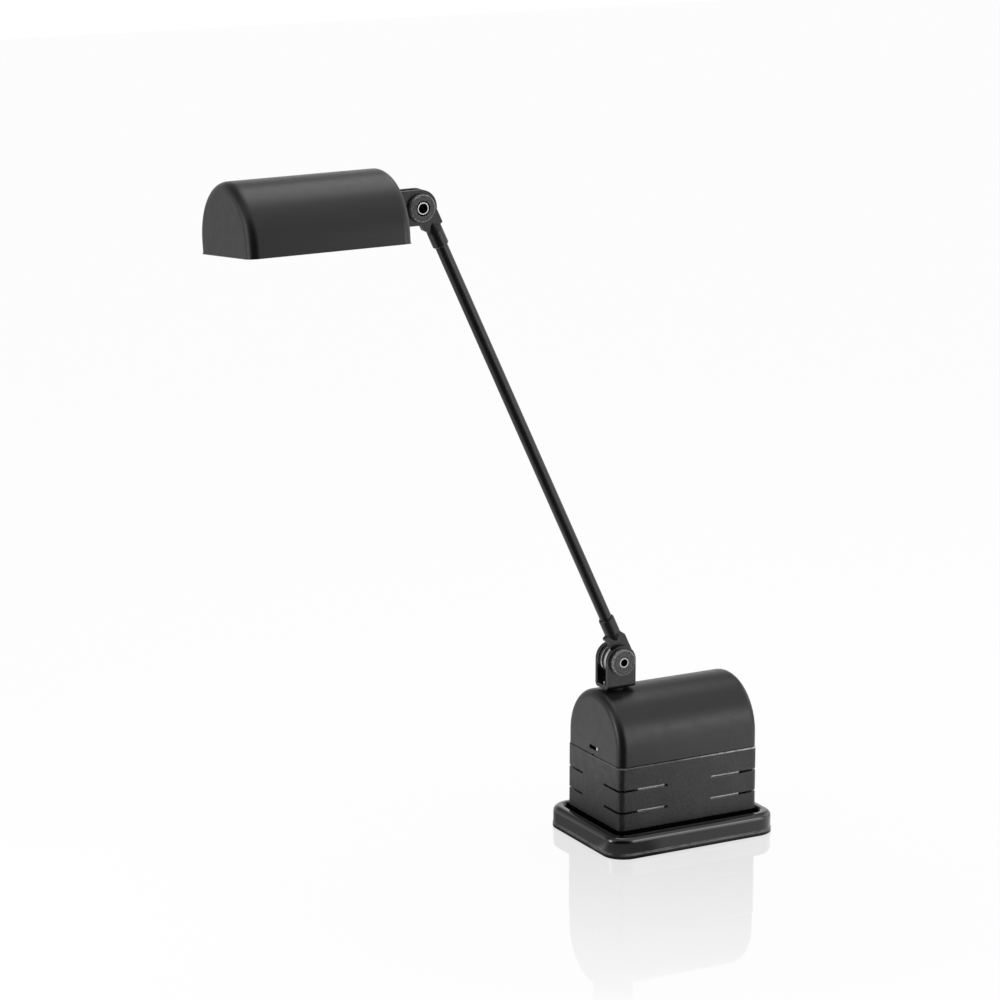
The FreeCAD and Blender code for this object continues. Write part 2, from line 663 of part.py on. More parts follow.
def housing_shell():
    """Vented lower housing: open shell, two rows of slots round each corner."""
    body = new_body("housing_shell")
    height = D["seam_height"] - D["plinth_height"]
    sketch = new_sketch(body, lift=D["plinth_height"])
    draw_block(sketch, D["housing_length"], D["housing_width"])
    block = pad(body, sketch, height)
    block = dress(body, "Fillet", block, edges_of(block, upright), Radius=D["housing_corner"])

    def is_end(face):
        bounds = face.BoundBox
        flat = bounds.ZLength < 0.01
        return flat and (near(bounds.ZMin, D["seam_height"]) or near(bounds.ZMin, D["plinth_height"]))

    block = dress(body, "Thickness", block, faces_of(block, is_end), Value=D["housing_wall"])
    dress(body, "Chamfer", block, outer_rim(block, D["seam_height"], half_length, half_width),
          Size=D["seam_chamfer"])

    for row in (D["vent_low"], D["vent_high"]):
        sketch = new_sketch(body, lift=row)
        for side_x in SIDES:
            for side_y in SIDES:
                slot_length = half_length - D["vent_gap_long"] / 2 + 1.0
                slot_width = half_width - D["vent_gap_short"] / 2 + 1.0
                x = (D["vent_gap_long"] / 2 + slot_length / 2) * side_x
                y = (D["vent_gap_short"] / 2 + slot_width / 2) * side_y
                draw_block(sketch, slot_length, slot_width, x, y)
        pocket(body, sketch, D["vent_height"], symmetric=True)

    sketch = new_sketch(body, lift=D["plinth_height"])
    draw_posts(sketch, D["post_radius"])
    pad(body, sketch, D["post_height"])
    sketch = new_sketch(body, lift=D["plinth_height"])
    draw_posts(sketch, D["base_screw"] / 2 + D["pivot_play"])
    pocket(body, sketch, D["post_height"], backwards=True)

    sketch = new_sketch(body, "XZ_Plane", lift=-half_width)
    fit = D["switch_fit"] * 2
    inner_length = D["switch_length"] - D["switch_border"] * 2
    inner_height = D["switch_height"] - D["switch_border"] * 2
    draw_block(sketch, inner_length + 2.4 + fit, inner_height + 2.4 + fit, ZERO, D["switch_z"])
    draw_circle(sketch, D["gland_radius"] + D["pivot_play"], gland_x, D["gland_z"])
    pocket(body, sketch, D["housing_wall"] * 2, symmetric=True)
    keep(body, "housing_shell")


def outer_rim(feature, z, half_x, half_y):
    """Edges of the outer outline at one height."""

    def outer(edge, bounds):
        reach_x = max(abs(bounds.XMin), abs(bounds.XMax))
        reach_y = max(abs(bounds.YMin), abs(bounds.YMax))
        return level(z, edge, bounds) and (near(reach_x, half_x) or near(reach_y, half_y))

    return edges_of(feature, outer)


def domed_shell(body, length, radius, skirt, wall, rounding, opening_edge=None):
    """Half-round shell along X on a straight skirt, open below; its axis is at z = 0."""
    sketch = new_sketch(body, "YZ_Plane")
    draw_outline(sketch, [(-radius, -skirt), (radius, -skirt), (radius, ZERO), (-radius, ZERO)],
                 {2: (ZERO, ZERO)})
    block = pad(body, sketch, length, symmetric=True)
    end_x = length.number / 2
    foot = (-skirt).number

    def on_end(edge, bounds):
        flat = bounds.XLength < 0.01 and near(abs(bounds.XMin), end_x)
        return flat and bounds.ZMax > foot + 0.1

    block = dress(body, "Fillet", block, edges_of(block, on_end), Radius=rounding)

    def is_mouth(face):
        bounds = face.BoundBox
        return bounds.ZLength < 0.01 and near(bounds.ZMin, foot)

    block = dress(body, "Thickness", block, faces_of(block, is_mouth), Value=wall)
    if opening_edge is not None:
        dress(body, "Chamfer", block, outer_rim(block, -skirt, length / 2, radius),
              Size=opening_edge)


def dome_cover():
    """Half-round cover with a latch window and pry notch in each end."""
    body = new_body("dome_cover")
    skirt = D["cover_skirt"]
    domed_shell(body, D["housing_length"], half_width, skirt, D["cover_wall"],
                D["cover_round"], D["seam_chamfer"])
    sketch = new_sketch(body, "YZ_Plane")
    window_z = D["latch_sill"] + D["latch_height"] / 2 - skirt
    draw_block(sketch, D["latch_width"], D["latch_height"], ZERO, window_z)
    draw_block(sketch, D["notch_width"], D["notch_height"] * 2, ZERO, -skirt)
    pocket(body, sketch, D["housing_length"] + 2.0, symmetric=True)
    sketch = new_sketch(body)
    draw_circle(sketch, D["swivel_screw"] / 2 + D["pivot_play"], joint_x, ZERO)
    pocket(body, sketch, half_width + 1.0, backwards=True)
    keep(body, "dome_cover", at(0, 0, cover_axis))


def cover_latches():
    """Spring steel tabs on the housing's end walls that snap into the windows."""
    inner = half_length - D["housing_wall"]
    sheet_x = half_length - D["cover_wall"] - D["latch_thickness"]
    foot_z = D["seam_height"] - D["latch_foot"]
    head_z = D["seam_height"] + D["latch_sill"] + D["latch_clearance"]
    head_height = D["latch_height"] - D["latch_clearance"] * 2
    width = D["latch_width"] - D["latch_clearance"] * 2
    seat = D["latch_clearance"] / 4
    jog_z = D["seam_height"] + seat
    tabs = []
    for side in SIDES:
        turn = Rotation(Vector(0, 0, 1), 0 if side > 0 else 180)

        def placed(x, z):
            spot = turn.multVec(vector(x, -(width / 2), ZERO))
            return Placement(spot + vector(0, 0, z), turn)

        leaf_x = inner - D["latch_thickness"] - seat
        leaf = box(D["latch_thickness"], width, D["latch_foot"] + seat, placed(leaf_x, foot_z))
        jog_length = sheet_x - leaf_x + D["latch_thickness"]
        jog = box(jog_length, width, D["latch_thickness"], placed(leaf_x, jog_z))
        rise = head_z + head_height - jog_z
        spring = box(D["latch_thickness"], width, rise, placed(sheet_x, jog_z))
        nose = box(D["cover_wall"] * 0.7 + D["latch_thickness"], width, head_height,
                   placed(sheet_x, head_z))
        tabs.append(fuse(leaf, jog, spring, nose))
    keep(group(*tabs), "cover_latches")


core_centre_y = D["core_depth"] / 2 - half_width + D["housing_wall"] + D["core_front_gap"]
core_mid_z = D["core_base"] + D["core_stack"] / 2
window_width = (core_length - D["core_limb"] * 2 - D["core_centre_limb"]) / 2
window_depth = D["core_depth"] - D["core_yoke"] * 2
bolt_x = core_length / 2 - D["core_limb"] / 2
bolt_y = D["core_depth"] / 2 - D["core_yoke"] / 2


def transformer_core():
    """Stack of E and I laminations with two windows and four corner holes."""
    body = new_body("transformer_core")
    sketch = new_sketch(body)
    draw_block(sketch, core_length, D["core_depth"])
    for side in SIDES:
        x = (D["core_centre_limb"] / 2 + window_width / 2) * side
        draw_block(sketch, window_width, window_depth, x, ZERO)
    for side_x in SIDES:
        for side_y in SIDES:
            draw_circle(sketch, D["core_bolt"] / 2 + D["pivot_play"],
                        bolt_x * side_x, bolt_y * side_y)
    pad(body, sketch, D["core_stack"])
    keep(body, "transformer_core", at(D["core_shift"], core_centre_y, D["core_base"]))


def transformer_bobbin():
    """Moulded former round the centre limb, flanged at both yokes."""
    body = new_body("transformer_bobbin")
    play = 0.2
    tube_width = D["core_centre_limb"] + D["bobbin_wall"] * 2 + play
    tube_height = D["core_stack"] + D["bobbin_wall"] * 2 + play
    flange_width = tube_width + D["winding_thickness"] * 2
    flange_height = tube_height + D["winding_thickness"] * 2
    sketch = new_sketch(body, "XZ_Plane")
    draw_block(sketch, tube_width, tube_height)
    pad(body, sketch, window_depth - play, symmetric=True)
    for side in SIDES:
        offset = (window_depth / 2 - D["winding_margin"] / 2 - play / 2) * side
        sketch = new_sketch(body, "XZ_Plane", lift=offset)
        draw_block(sketch, flange_width, flange_height)
        pad(body, sketch, D["winding_margin"], symmetric=True)
    sketch = new_sketch(body, "XZ_Plane")
    draw_block(sketch, D["core_centre_limb"] + play, D["core_stack"] + play)
    pocket(body, sketch, window_depth, symmetric=True)
    keep(body, "transformer_bobbin", at(D["core_shift"], core_centre_y, core_mid_z))


def transformer_winding():
    """Wound copper between the bobbin's flanges."""
    body = new_body("transformer_winding")
    play = 0.2
    inner_width = D["core_centre_limb"] + D["bobbin_wall"] * 2 + play
    inner_height = D["core_stack"] + D["bobbin_wall"] * 2 + play
    build = (D["winding_thickness"] - 0.6) * 2
    length = window_depth - D["winding_margin"] * 2 - play * 2
    sketch = new_sketch(body, "XZ_Plane")
    draw_block(sketch, inner_width + build, inner_height + build)
    block = pad(body, sketch, length, symmetric=True)

    def along_y(edge, bounds):
        return bounds.XLength < 0.01 and bounds.ZLength < 0.01

    dress(body, "Fillet", block, edges_of(block, along_y), Radius=4.0)
    sketch = new_sketch(body, "XZ_Plane")
    draw_block(sketch, inner_width, inner_height)
    pocket(body, sketch, length + 1.0, symmetric=True)
    keep(body, "transformer_winding", at(D["core_shift"], core_centre_y, core_mid_z))


def transformer_brackets():
    """Two Z-shaped steel angles from the core's corners down to the ballast plate."""
    top = D["core_base"]
    foot = D["floor_height"] + D["ballast_thickness"]
    sheet_size = D["bracket_thickness"]
    angles = []
    for side in SIDES:
        body = new_body("bracket")
        outer = core_length / 2
        inner = outer - D["core_limb"]
        sketch = new_sketch(body, "XZ_Plane")
        points = [(inner, -sheet_size), (outer - sheet_size, -sheet_size),
                  (outer - sheet_size, foot - top), (outer - sheet_size + D["bracket_foot"], foot - top),
                  (outer - sheet_size + D["bracket_foot"], foot - top + sheet_size),
                  (outer, foot - top + sheet_size), (outer, ZERO), (inner, ZERO)]
        draw_outline(sketch, points)
        pad(body, sketch, D["core_depth"] - D["bracket_inset"] * 2, symmetric=True)
        sketch = new_sketch(body)
        for side_y in SIDES:
            draw_circle(sketch, D["core_bolt"] / 2 + D["pivot_play"], bolt_x, bolt_y * side_y)
        pocket(body, sketch, sheet_size * 2, symmetric=True)
        turn = Rotation(Vector(0, 0, 1), 0 if side > 0 else 180)
        body.Placement = at(D["core_shift"], core_centre_y, top, turn)
        angles.append(body)
    keep(group(*angles), "transformer_brackets")


def transformer_bolts():
    """Four bolts with nuts through the core's corners and the angles."""
    bolts = []
    low = D["core_base"] - D["bracket_thickness"]
    height = D["core_stack"] + D["bracket_thickness"]
    for side_x in SIDES:
        for side_y in SIDES:
            x = D["core_shift"] + bolt_x * side_x
            y = core_centre_y + bolt_y * side_y
            shank = cylinder(D["core_bolt"] / 2, height, at(x, y, low))
            nut = hexagon(D["core_bolt_head"] / 2, D["core_bolt_head_height"],
                          at(x, y, low - D["core_bolt_head_height"]))
            head = hexagon(D["core_bolt_head"] / 2, D["core_bolt_head_height"],
                           at(x, y, low + height))
            bolts.append(fuse(shank, nut, head))
    keep(group(*bolts), "transformer_bolts")


def terminal_block():
    """Two-way terminal strip on the ballast plate behind the core."""
    body = new_body("terminal_block")
    sketch = new_sketch(body)
    draw_block(sketch, D["terminal_length"], D["terminal_depth"])
    block = pad(body, sketch, D["terminal_height"])
    block = dress(body, "Chamfer", block, edges_of(block, upright), Size=1.0)
    sketch = new_sketch(body, lift=D["terminal_height"])
    for side in SIDES:
        draw_circle(sketch, 2.2, D["terminal_length"] / 4 * side, ZERO)
    pocket(body, sketch, 4.0)
    y = ballast_width / 2 - D["terminal_depth"] / 2
    z = D["floor_height"] + D["ballast_thickness"]
    keep(body, "terminal_block", at(half_length - D["terminal_inset"], y, z))


rocker_length = D["switch_length"] - D["switch_border"] * 2 - D["rocker_gap"] * 2
rocker_height = D["switch_height"] - D["switch_border"] * 2 - D["rocker_gap"] * 2


def switch_frame():
    """Snap-in switch body with a bezel, hollow where the rocker tips."""
    body = new_body("switch_frame")
    sketch = new_sketch(body, "XZ_Plane", lift=-D["switch_rim"])
    draw_block(sketch, D["switch_length"], D["switch_height"])
    block = pad(body, sketch, D["switch_rim"])

    def on_face(edge, bounds):
        return near(bounds.YMin, D["switch_rim"]) and near(bounds.YMax, D["switch_rim"])

    dress(body, "Fillet", block, edges_of(block, on_face), Radius=0.8)
    sketch = new_sketch(body, "XZ_Plane")
    inner_length = D["switch_length"] - D["switch_border"] * 2 + 2.4
    inner_height = D["switch_height"] - D["switch_border"] * 2 + 2.4
    draw_block(sketch, inner_length, inner_height)
    pad(body, sketch, D["switch_depth"])
    sketch = new_sketch(body, "XZ_Plane", lift=-D["switch_rim"])
    draw_block(sketch, D["switch_length"] - D["switch_border"] * 2,
               D["switch_height"] - D["switch_border"] * 2)
    pocket(body, sketch, D["switch_rim"] + D["rocker_depth"] + 3.0, backwards=True)
    sketch = new_sketch(body)
    draw_circle(sketch, D["rocker_pin"] / 2 + D["pivot_play"], ZERO, -D["rocker_pin_set"])
    pocket(body, sketch, rocker_height + D["rocker_gap"] * 2 + D["rocker_pin_depth"] * 2,
           symmetric=True)
    keep(body, "switch_frame", at(0, half_width, D["switch_z"]))


def switch_rocker():
    """Rocker with two slanted faces, on its side; it tips about Z."""
    body = new_body("switch_rocker")
    proud = D["switch_rim"] + 0.6
    rise = as_size(math.tan(math.radians(D["rocker_angle"].number / 2)))
    reach = rocker_length / 2 - 1.6
    sketch = new_sketch(body)
    points = [(-reach, -D["rocker_depth"] / 2), (ZERO, -D["rocker_depth"]),
              (reach, -D["rocker_depth"] / 2),
              (reach, proud + reach * rise * 0.9), (ZERO, proud),
              (-reach, proud - reach * rise * 0.15)]
    draw_outline(sketch, points)
    block = pad(body, sketch, rocker_height, symmetric=True)

    def outer_edge(edge, bounds):
        return bounds.ZLength < 0.01 and bounds.YMin > 0.3

    dress(body, "Fillet", block, edges_of(block, outer_edge), Radius=0.5)
    sketch = new_sketch(body)
    draw_circle(sketch, D["rocker_pin"] / 2, ZERO, -D["rocker_pin_set"])
    reach = D["rocker_gap"] * 2 + D["rocker_pin_depth"] * 2 - D["pivot_play"] * 4
    pad(body, sketch, rocker_height + reach, symmetric=True)
    keep(body, "switch_rocker", at(0, half_width, D["switch_z"]))


def inlet_gland():
    """Flanged bush for the cable in the rear wall, empty."""
    body = new_body("inlet_gland")
    sketch = new_sketch(body)
    hole = D["gland_bore"]
    tip = D["gland_radius"] - 0.8
    points = [(hole, -D["gland_length"]), (tip, -D["gland_length"]),
              (D["gland_radius"], ZERO), (D["gland_flange"], ZERO),
              (D["gland_flange"] - 0.8, D["gland_flange_thickness"]),
              (hole + 0.8, D["gland_flange_thickness"]), (hole, D["gland_flange_thickness"] - 0.8)]
    draw_outline(sketch, points)
    revolve(body, "Revolution", sketch)
    keep(body, "inlet_gland", at(gland_x, half_width, D["gland_z"]))


def crest_cylinder(radius):
    """Cylinder along X on the cover's axis, as long as the swivel parts need."""
    length = D["spacer_radius"] * 4
    return cylinder(radius, length, at(joint_x - length / 2, 0, cover_axis, TURN_TO_X))


def swivel_spacer():
    """Round spacer whose underside follows the cover's crest."""
    depth = D["spacer_thickness"] + 2.0
    hole = D["swivel_screw"] / 2 + D["pivot_play"]
    blank = ring(D["spacer_radius"], hole, depth, at(joint_x, 0, clevis_base - depth))
    keep(cut(blank, crest_cylinder(half_width)), "swivel_spacer")


def swivel_seat():
    """Seat under the cover's crest that gives the bolt a flat underside."""
    hole = D["swivel_screw"] / 2 + D["pivot_play"]
    low = cover_top - D["cover_wall"] - D["seat_thickness"]
    blank = ring(D["spacer_radius"], hole, D["seat_thickness"] + 1.0, at(joint_x, 0, low))
    keep(common(blank, crest_cylinder(half_width - D["cover_wall"])), "swivel_seat")


def swivel_hardware():
    """Bolt, spring washer, nut and stop pin of the base swivel."""
    x = joint_x
    seat_low = cover_top - D["cover_wall"] - D["seat_thickness"]
    washer_low = seat_low - D["swivel_washer_thickness"]
    nut_low = washer_low - D["swivel_nut_height"]
    head_low = clevis_base + D["clevis_sheet"]
    shank = cylinder(D["swivel_screw"] / 2, head_low - nut_low + 1.5, at(x, 0, nut_low - 1.5))
    head = cylinder(D["swivel_head"] / 2, D["swivel_head_height"], at(x, 0, head_low))
    socket = hexagon(2.6, 1.8, at(x, 0, head_low + D["swivel_head_height"] - 1.8))
    keep(cut(fuse(shank, head), socket), "swivel_bolt")
    hole = D["swivel_screw"] / 2 + D["pivot_play"]
    keep(ring(D["spacer_radius"] - 1.0, hole, D["swivel_washer_thickness"], at(x, 0, washer_low)),
         "swivel_washer")
    nut = hexagon(D["swivel_nut_radius"], D["swivel_nut_height"])
    bore = cylinder(hole, D["swivel_nut_height"])
    keep(cut(nut, bore), "swivel_nut", at(x, 0, nut_low))
    pin_x = x + D["stop_pin_x"]
    body = cylinder(D["stop_pin"] / 4, D["clevis_sheet"], at(pin_x, D["stop_pin_y"], clevis_base))
    button = cylinder(D["stop_pin"] / 2, 1.8, at(pin_x, D["stop_pin_y"], head_low))
    keep(fuse(body, button), "swivel_stop_pin")


def clevis(label, width, depth, reach, base_hole, placement, pin_hole=False):
    """Folded fork: base at z = 0, ears up to a round end about the pivot."""
    body = new_body(label)
    half = width / 2
    sketch = new_sketch(body, "XZ_Plane")
    draw_outline(sketch, [(-half, ZERO), (half, ZERO), (half, reach), (-half, reach)],
                 {2: (ZERO, reach)})
    block = pad(body, sketch, depth, symmetric=True)

    def on_base(edge, bounds):
        along = bounds.YLength < 0.01 and near(abs(bounds.YMin), depth / 2)
        return along and level(ZERO, edge, bounds)

    dress(body, "Fillet", block, edges_of(block, on_base), Radius=D["clevis_bend"])
    gap = depth - D["clevis_sheet"] * 2
    mouth = reach + half
    sketch = new_sketch(body, "YZ_Plane")
    draw_block(sketch, gap, mouth, ZERO, D["clevis_sheet"] + mouth / 2)
    block = pocket(body, sketch, width + 2.0, symmetric=True)

    def in_fold(edge, bounds):
        along = bounds.YLength < 0.01 and near(abs(bounds.YMin), gap / 2)
        return along and level(D["clevis_sheet"], edge, bounds)

    dress(body, "Fillet", block, edges_of(block, in_fold),
          Radius=D["clevis_bend"] - D["clevis_sheet"])
    sketch = new_sketch(body, "XZ_Plane")
    draw_circle(sketch, bolt_hole, ZERO, reach)
    pocket(body, sketch, depth + 2.0, symmetric=True)
    sketch = new_sketch(body)
    draw_circle(sketch, base_hole)
    if pin_hole:
        draw_circle(sketch, D["stop_pin"] / 4 + D["pivot_play"], D["stop_pin_x"], D["stop_pin_y"])
    pocket(body, sketch, D["clevis_sheet"] * 2, symmetric=True)
    keep(body, label, placement)


def pivot_disc(label, pivot, face_y, side, recess_size):
    """Friction disc with a recess for the bolt's head; face_y is the side on the washer."""
    body = new_body(label)
    outer = D["disc_diameter"] / 2
    recess = recess_size / 2
    floor = D["disc_thickness"] - D["disc_recess_depth"]
    sketch = new_sketch(body, "XZ_Plane")
    edge = D["disc_edge"]
    points = [(bolt_hole, ZERO), (outer, ZERO), (outer, D["disc_thickness"] - edge),
              (outer - edge, D["disc_thickness"]), (recess, D["disc_thickness"]),
              (recess, floor), (bolt_hole, floor)]
    draw_outline(sketch, points)
    revolve(body, "Revolution", sketch)
    turn = TURN_TO_MINUS_Y if side < 0 else TURN_TO_Y
    keep(body, label, Placement(pivot + vector(0, face_y, 0), turn))


def joint_stack(name, pivot, front, back):
    """Everything on a pivot bolt outside the ears; front and back are the ears' faces."""
    washer = D["rim_washer_thickness"]
    head_size = D[name + "_pivot_head"]
    recess = D[name + "_disc_recess"]
    rims = []
    for side, face in ((-1, front), (1, back)):
        turn = TURN_TO_MINUS_Y if side < 0 else TURN_TO_Y
        spot = Placement(pivot + vector(0, face, 0), turn)
        rims.append(ring(D["rim_washer_diameter"] / 2, bolt_hole, washer, spot))
    keep(group(*rims), name + "_rim_washers")
    pivot_disc(name + "_disc_front", pivot, front - washer, -1, recess)
    pivot_disc(name + "_disc_back", pivot, back + washer, 1, recess)
    floor = washer + D["disc_thickness"] - D["disc_recess_depth"]
    head_seat = front - floor
    nut_seat = back + floor
    length = nut_seat - head_seat + D["pivot_head_height"] - 0.4
    shank = cylinder(D["pivot_screw"] / 2, length)
    head = cylinder(head_size / 2, D["pivot_head_height"], at(0, 0, -D["pivot_head_height"]))
    socket = hexagon(head_size / 2 - D["pivot_hex_ring"], D["pivot_hex_depth"],
                     at(0, 0, -D["pivot_head_height"]))
    bolt = cut(fuse(shank, head), socket)
    keep(bolt, name + "_pivot_bolt", Placement(pivot + vector(0, head_seat, 0), TURN_TO_Y))
    nut = ring(head_size / 2, bolt_hole, D["pivot_head_height"])
    keep(nut, name + "_pivot_nut", Placement(pivot + vector(0, nut_seat, 0), TURN_TO_Y))


def lower_inner_stack():
    """Shim, friction and steel washers and disc springs between the lower ears."""
    inner = ear_front - D["clevis_sheet"]
    pivot = lower_pivot

    def placed(y):
        return Placement(pivot + vector(0, y, 0), TURN_TO_Y)

    keep(ring(D["shim_radius"], bolt_hole, D["shim_thickness"]), "lower_shim", placed(-inner))
    friction_y = D["tongue_thickness"] - tongue_front
    keep(ring(D["friction_radius"], bolt_hole, D["friction_thickness"]),
         "lower_friction_washer", placed(friction_y))
    steel_y = friction_y + D["friction_thickness"]
    keep(ring(D["friction_radius"], bolt_hole, D["steel_washer_thickness"]),
         "lower_steel_washer", placed(steel_y))
    back_y = inner - D["back_washer_thickness"]
    keep(ring(D["friction_radius"], bolt_hole, D["back_washer_thickness"]),
         "lower_back_washer", placed(back_y))
    spring_y = steel_y + D["steel_washer_thickness"]
    rise = (back_y - spring_y) / 3 - D["spring_sheet"]
    springs = []
    for index in range(3):
        body = new_body("disc_spring")
        sketch = new_sketch(body, "XZ_Plane")
        low, high = (ZERO, rise) if index % 2 else (rise, ZERO)
        sheet_size = D["spring_sheet"]
        points = [(bolt_hole, low), (D["spring_radius"], high),
                  (D["spring_radius"], high + sheet_size), (bolt_hole, low + sheet_size)]
        draw_outline(sketch, points)
        revolve(body, "Revolution", sketch)
        body.Placement = placed(spring_y + (rise + sheet_size) * index)
        springs.append(body)
    keep(group(*springs), "lower_disc_springs")


def arm_fitting(label, end):
    """Flat tongue with an eye, necked into the tube's socket; end is 1 below, -1 above.

    The near edge carries the square shoulder below and the sloping one above.
    """
    body = new_body(label)
    eye = D["eye_radius"]
    near_x = -D["tongue_near_side"]
    wide_x = D["tongue_wide_side"] if end > 0 else D["upper_wide_side"]
    wide_start = D["tongue_wide_start"] if end > 0 else D["upper_wide_start"]
    knee = D["tongue_knee"] if end > 0 else D["tongue_corner"]
    mouth = D["socket_end"] if end > 0 else D["upper_socket_end"]
    slope_start = D["shoulder_low"] if end > 0 else D["upper_shoulder_low"]
    socket = D["socket_radius"]
    near_y = (eye * eye - D["tongue_near_side"] * D["tongue_near_side"]).root()
    socket_near = D["tube_offset"] - socket + 0.6
    socket_wide = D["tube_offset"] + socket - 0.6
    lip_low = D["hook_top"] - D["hook_depth"]
    neck_top = D["socket_start"]
    if end > 0:
        points = [(eye, ZERO), (wide_x, wide_start), (wide_x, slope_start),
                  (socket_wide, D["shoulder_high"]), (socket_wide, neck_top),
                  (socket_near, neck_top), (near_x, D["hook_top"]), (near_x, lip_low + 0.8),
                  (near_x + 1.6, lip_low), (near_x + 1.6, near_y + 2.6), (near_x, near_y)]
        arcs = {10: (ZERO, ZERO)}
    else:
        points = [(near_x, -near_y), (near_x, -slope_start),
                  (socket_near, -D["shoulder_high"]), (socket_near, -neck_top),
                  (socket_wide, -neck_top), (socket_wide, -lip_low - 0.8),
                  (wide_x, -lip_low), (wide_x, -wide_start), (eye, ZERO)]
        arcs = {8: (ZERO, ZERO)}
    sketch = new_sketch(body, "XZ_Plane")
    draw_outline(sketch, points, arcs)
    block = pad(body, sketch, D["tongue_thickness"], symmetric=True)

    for height, radius in ((slope_start, knee), (D["hook_top"], D["tongue_corner"])):

        def outer_corner(edge, bounds):
            across = bounds.XLength < 0.01 and bounds.ZLength < 0.01
            return across and near(abs(bounds.ZMin), height)

        corners = edges_of(block, outer_corner)
        if corners:
            block = dress(body, "Fillet", block, corners, Radius=radius)

    sketch = new_sketch(body, "XZ_Plane", shift_x=D["tube_offset"])
    lip = D["socket_lip"]
    bore = D["tube_diameter"] / 2 + D["pivot_play"]
    bottom = D["tube_stop"]
    profile = [(ZERO, D["neck_start"]), (D["neck_radius"], D["neck_start"]),
               (socket, D["socket_start"]), (socket, mouth - lip),
               (socket - lip * 0.7, mouth), (bore, mouth), (bore, bottom), (ZERO, bottom)]
    if end < 0:
        profile = [(x, -y) for x, y in profile]
    draw_outline(sketch, profile)
    revolve(body, "Revolution", sketch)
    sketch = new_sketch(body, "XZ_Plane")
    draw_circle(sketch, bolt_hole)
    pocket(body, sketch, D["tongue_thickness"] * 3, symmetric=True)
    spot = lower_pivot if end > 0 else upper_pivot
    keep(body, label, Placement(spot + vector(0, arm_y, 0), arm_turn))


def arm_tube():
    """Straight tube between the two sockets."""
    body = new_body("arm_tube")
    sketch = new_sketch(body, lift=D["tube_stop"])
    draw_circle(sketch, D["tube_diameter"] / 2, D["tube_offset"])
    draw_circle(sketch, D["tube_diameter"] / 2 - D["tube_wall"], D["tube_offset"])
    pad(body, sketch, D["arm_reach"] - D["tube_stop"] * 2)
    keep(body, "arm_tube", Placement(lower_pivot + vector(0, arm_y, 0), arm_turn))


upper_front = -ear_front
upper_back = D["upper_clevis_depth"] - ear_front
upper_mid_y = D["upper_clevis_depth"] / 2 - ear_front


def head_place(x, y, z, turn=None):
    """Placement in the upper clevis's frame: its pivot, tilted with the head."""
    spot = upper_pivot + head_turn.multVec(vector(x, y, z))
    return Placement(spot, head_turn.multiply(turn) if turn else head_turn)


def upper_clevis_parts():
    """Upper clevis with its shims and the bolt that carries the shade."""
    reach = D["upper_pivot_reach"]
    hole = D["shade_screw"] / 2 + D["pivot_play"]
    clevis("upper_clevis", D["upper_clevis_width"], D["upper_clevis_depth"], reach, hole,
           head_place(-reach, upper_mid_y, ZERO, TURN_TO_X))
    inner = upper_front + D["clevis_sheet"]
    shims = []
    for y in (inner, upper_back - D["clevis_sheet"] - D["shim_thickness"]):
        spot = Placement(upper_pivot + vector(0, y, 0), TURN_TO_Y)
        shims.append(ring(D["shim_radius"], bolt_hole, D["shim_thickness"], spot))
    keep(group(*shims), "upper_shims")
    wall_inner = -reach - D["shade_spacer_thickness"] - D["shade_wall"]
    washer = D["shade_washer_thickness"]
    length = D["clevis_sheet"] + D["shade_spacer_thickness"] + D["shade_wall"] + washer
    turn = Rotation(Vector(0, 1, 0), -90)
    shank = cylinder(D["shade_screw"] / 2, length)
    head = hexagon(D["shade_screw_head"] / 2, D["shade_screw_head_height"], at(0, 0, length))
    keep(fuse(shank, head), "shade_bolt", head_place(D["clevis_sheet"] - reach, upper_mid_y, ZERO, turn))
    keep(ring(D["shade_washer_radius"], hole, washer), "shade_washer",
         head_place(wall_inner, upper_mid_y, ZERO, turn))


# The shade's own frame has its origin on the bolt, at the outer face of the end wall.
shade_face = -D["upper_pivot_reach"] - D["shade_spacer_thickness"]
roll_turn = Rotation(Vector(1, 0, 0), D["shade_roll"].number)
shade_mid_x = -D["shade_length"] / 2
shade_foot = -D["shade_bolt_rise"] - D["shade_skirt"]


def shade_place(x=ZERO, y=ZERO, z=ZERO, turn=None):
    """Placement in the shade's frame, rolled about its bolt."""
    spot = vector(shade_face, upper_mid_y, ZERO) + roll_turn.multVec(vector(x, y, z))
    rotation = head_turn.multiply(roll_turn)
    if turn:
        rotation = rotation.multiply(turn)
    return Placement(upper_pivot + head_turn.multVec(spot), rotation)


def shade_spacer():
    hole = D["shade_screw"] / 2 + D["pivot_play"]
    keep(ring(D["shade_spacer_radius"], hole, D["shade_spacer_thickness"]),
         "shade_spacer", shade_place(turn=TURN_TO_X))


def shade_shell():
    """Half-round shade, open below, with the bolt hole in its end wall."""
    body = new_body("shade_shell")
    domed_shell(body, D["shade_length"], D["shade_radius"], D["shade_skirt"], D["shade_wall"],
                D["shade_round"])
    sketch = new_sketch(body, "YZ_Plane", lift=D["shade_length"] / 2)
    draw_circle(sketch, D["shade_screw"] / 2 + D["pivot_play"], ZERO, D["shade_bolt_rise"])
    pocket(body, sketch, D["shade_wall"] * 3, symmetric=True)
    keep(body, "shade_shell", shade_place(shade_mid_x, ZERO, -D["shade_bolt_rise"]))


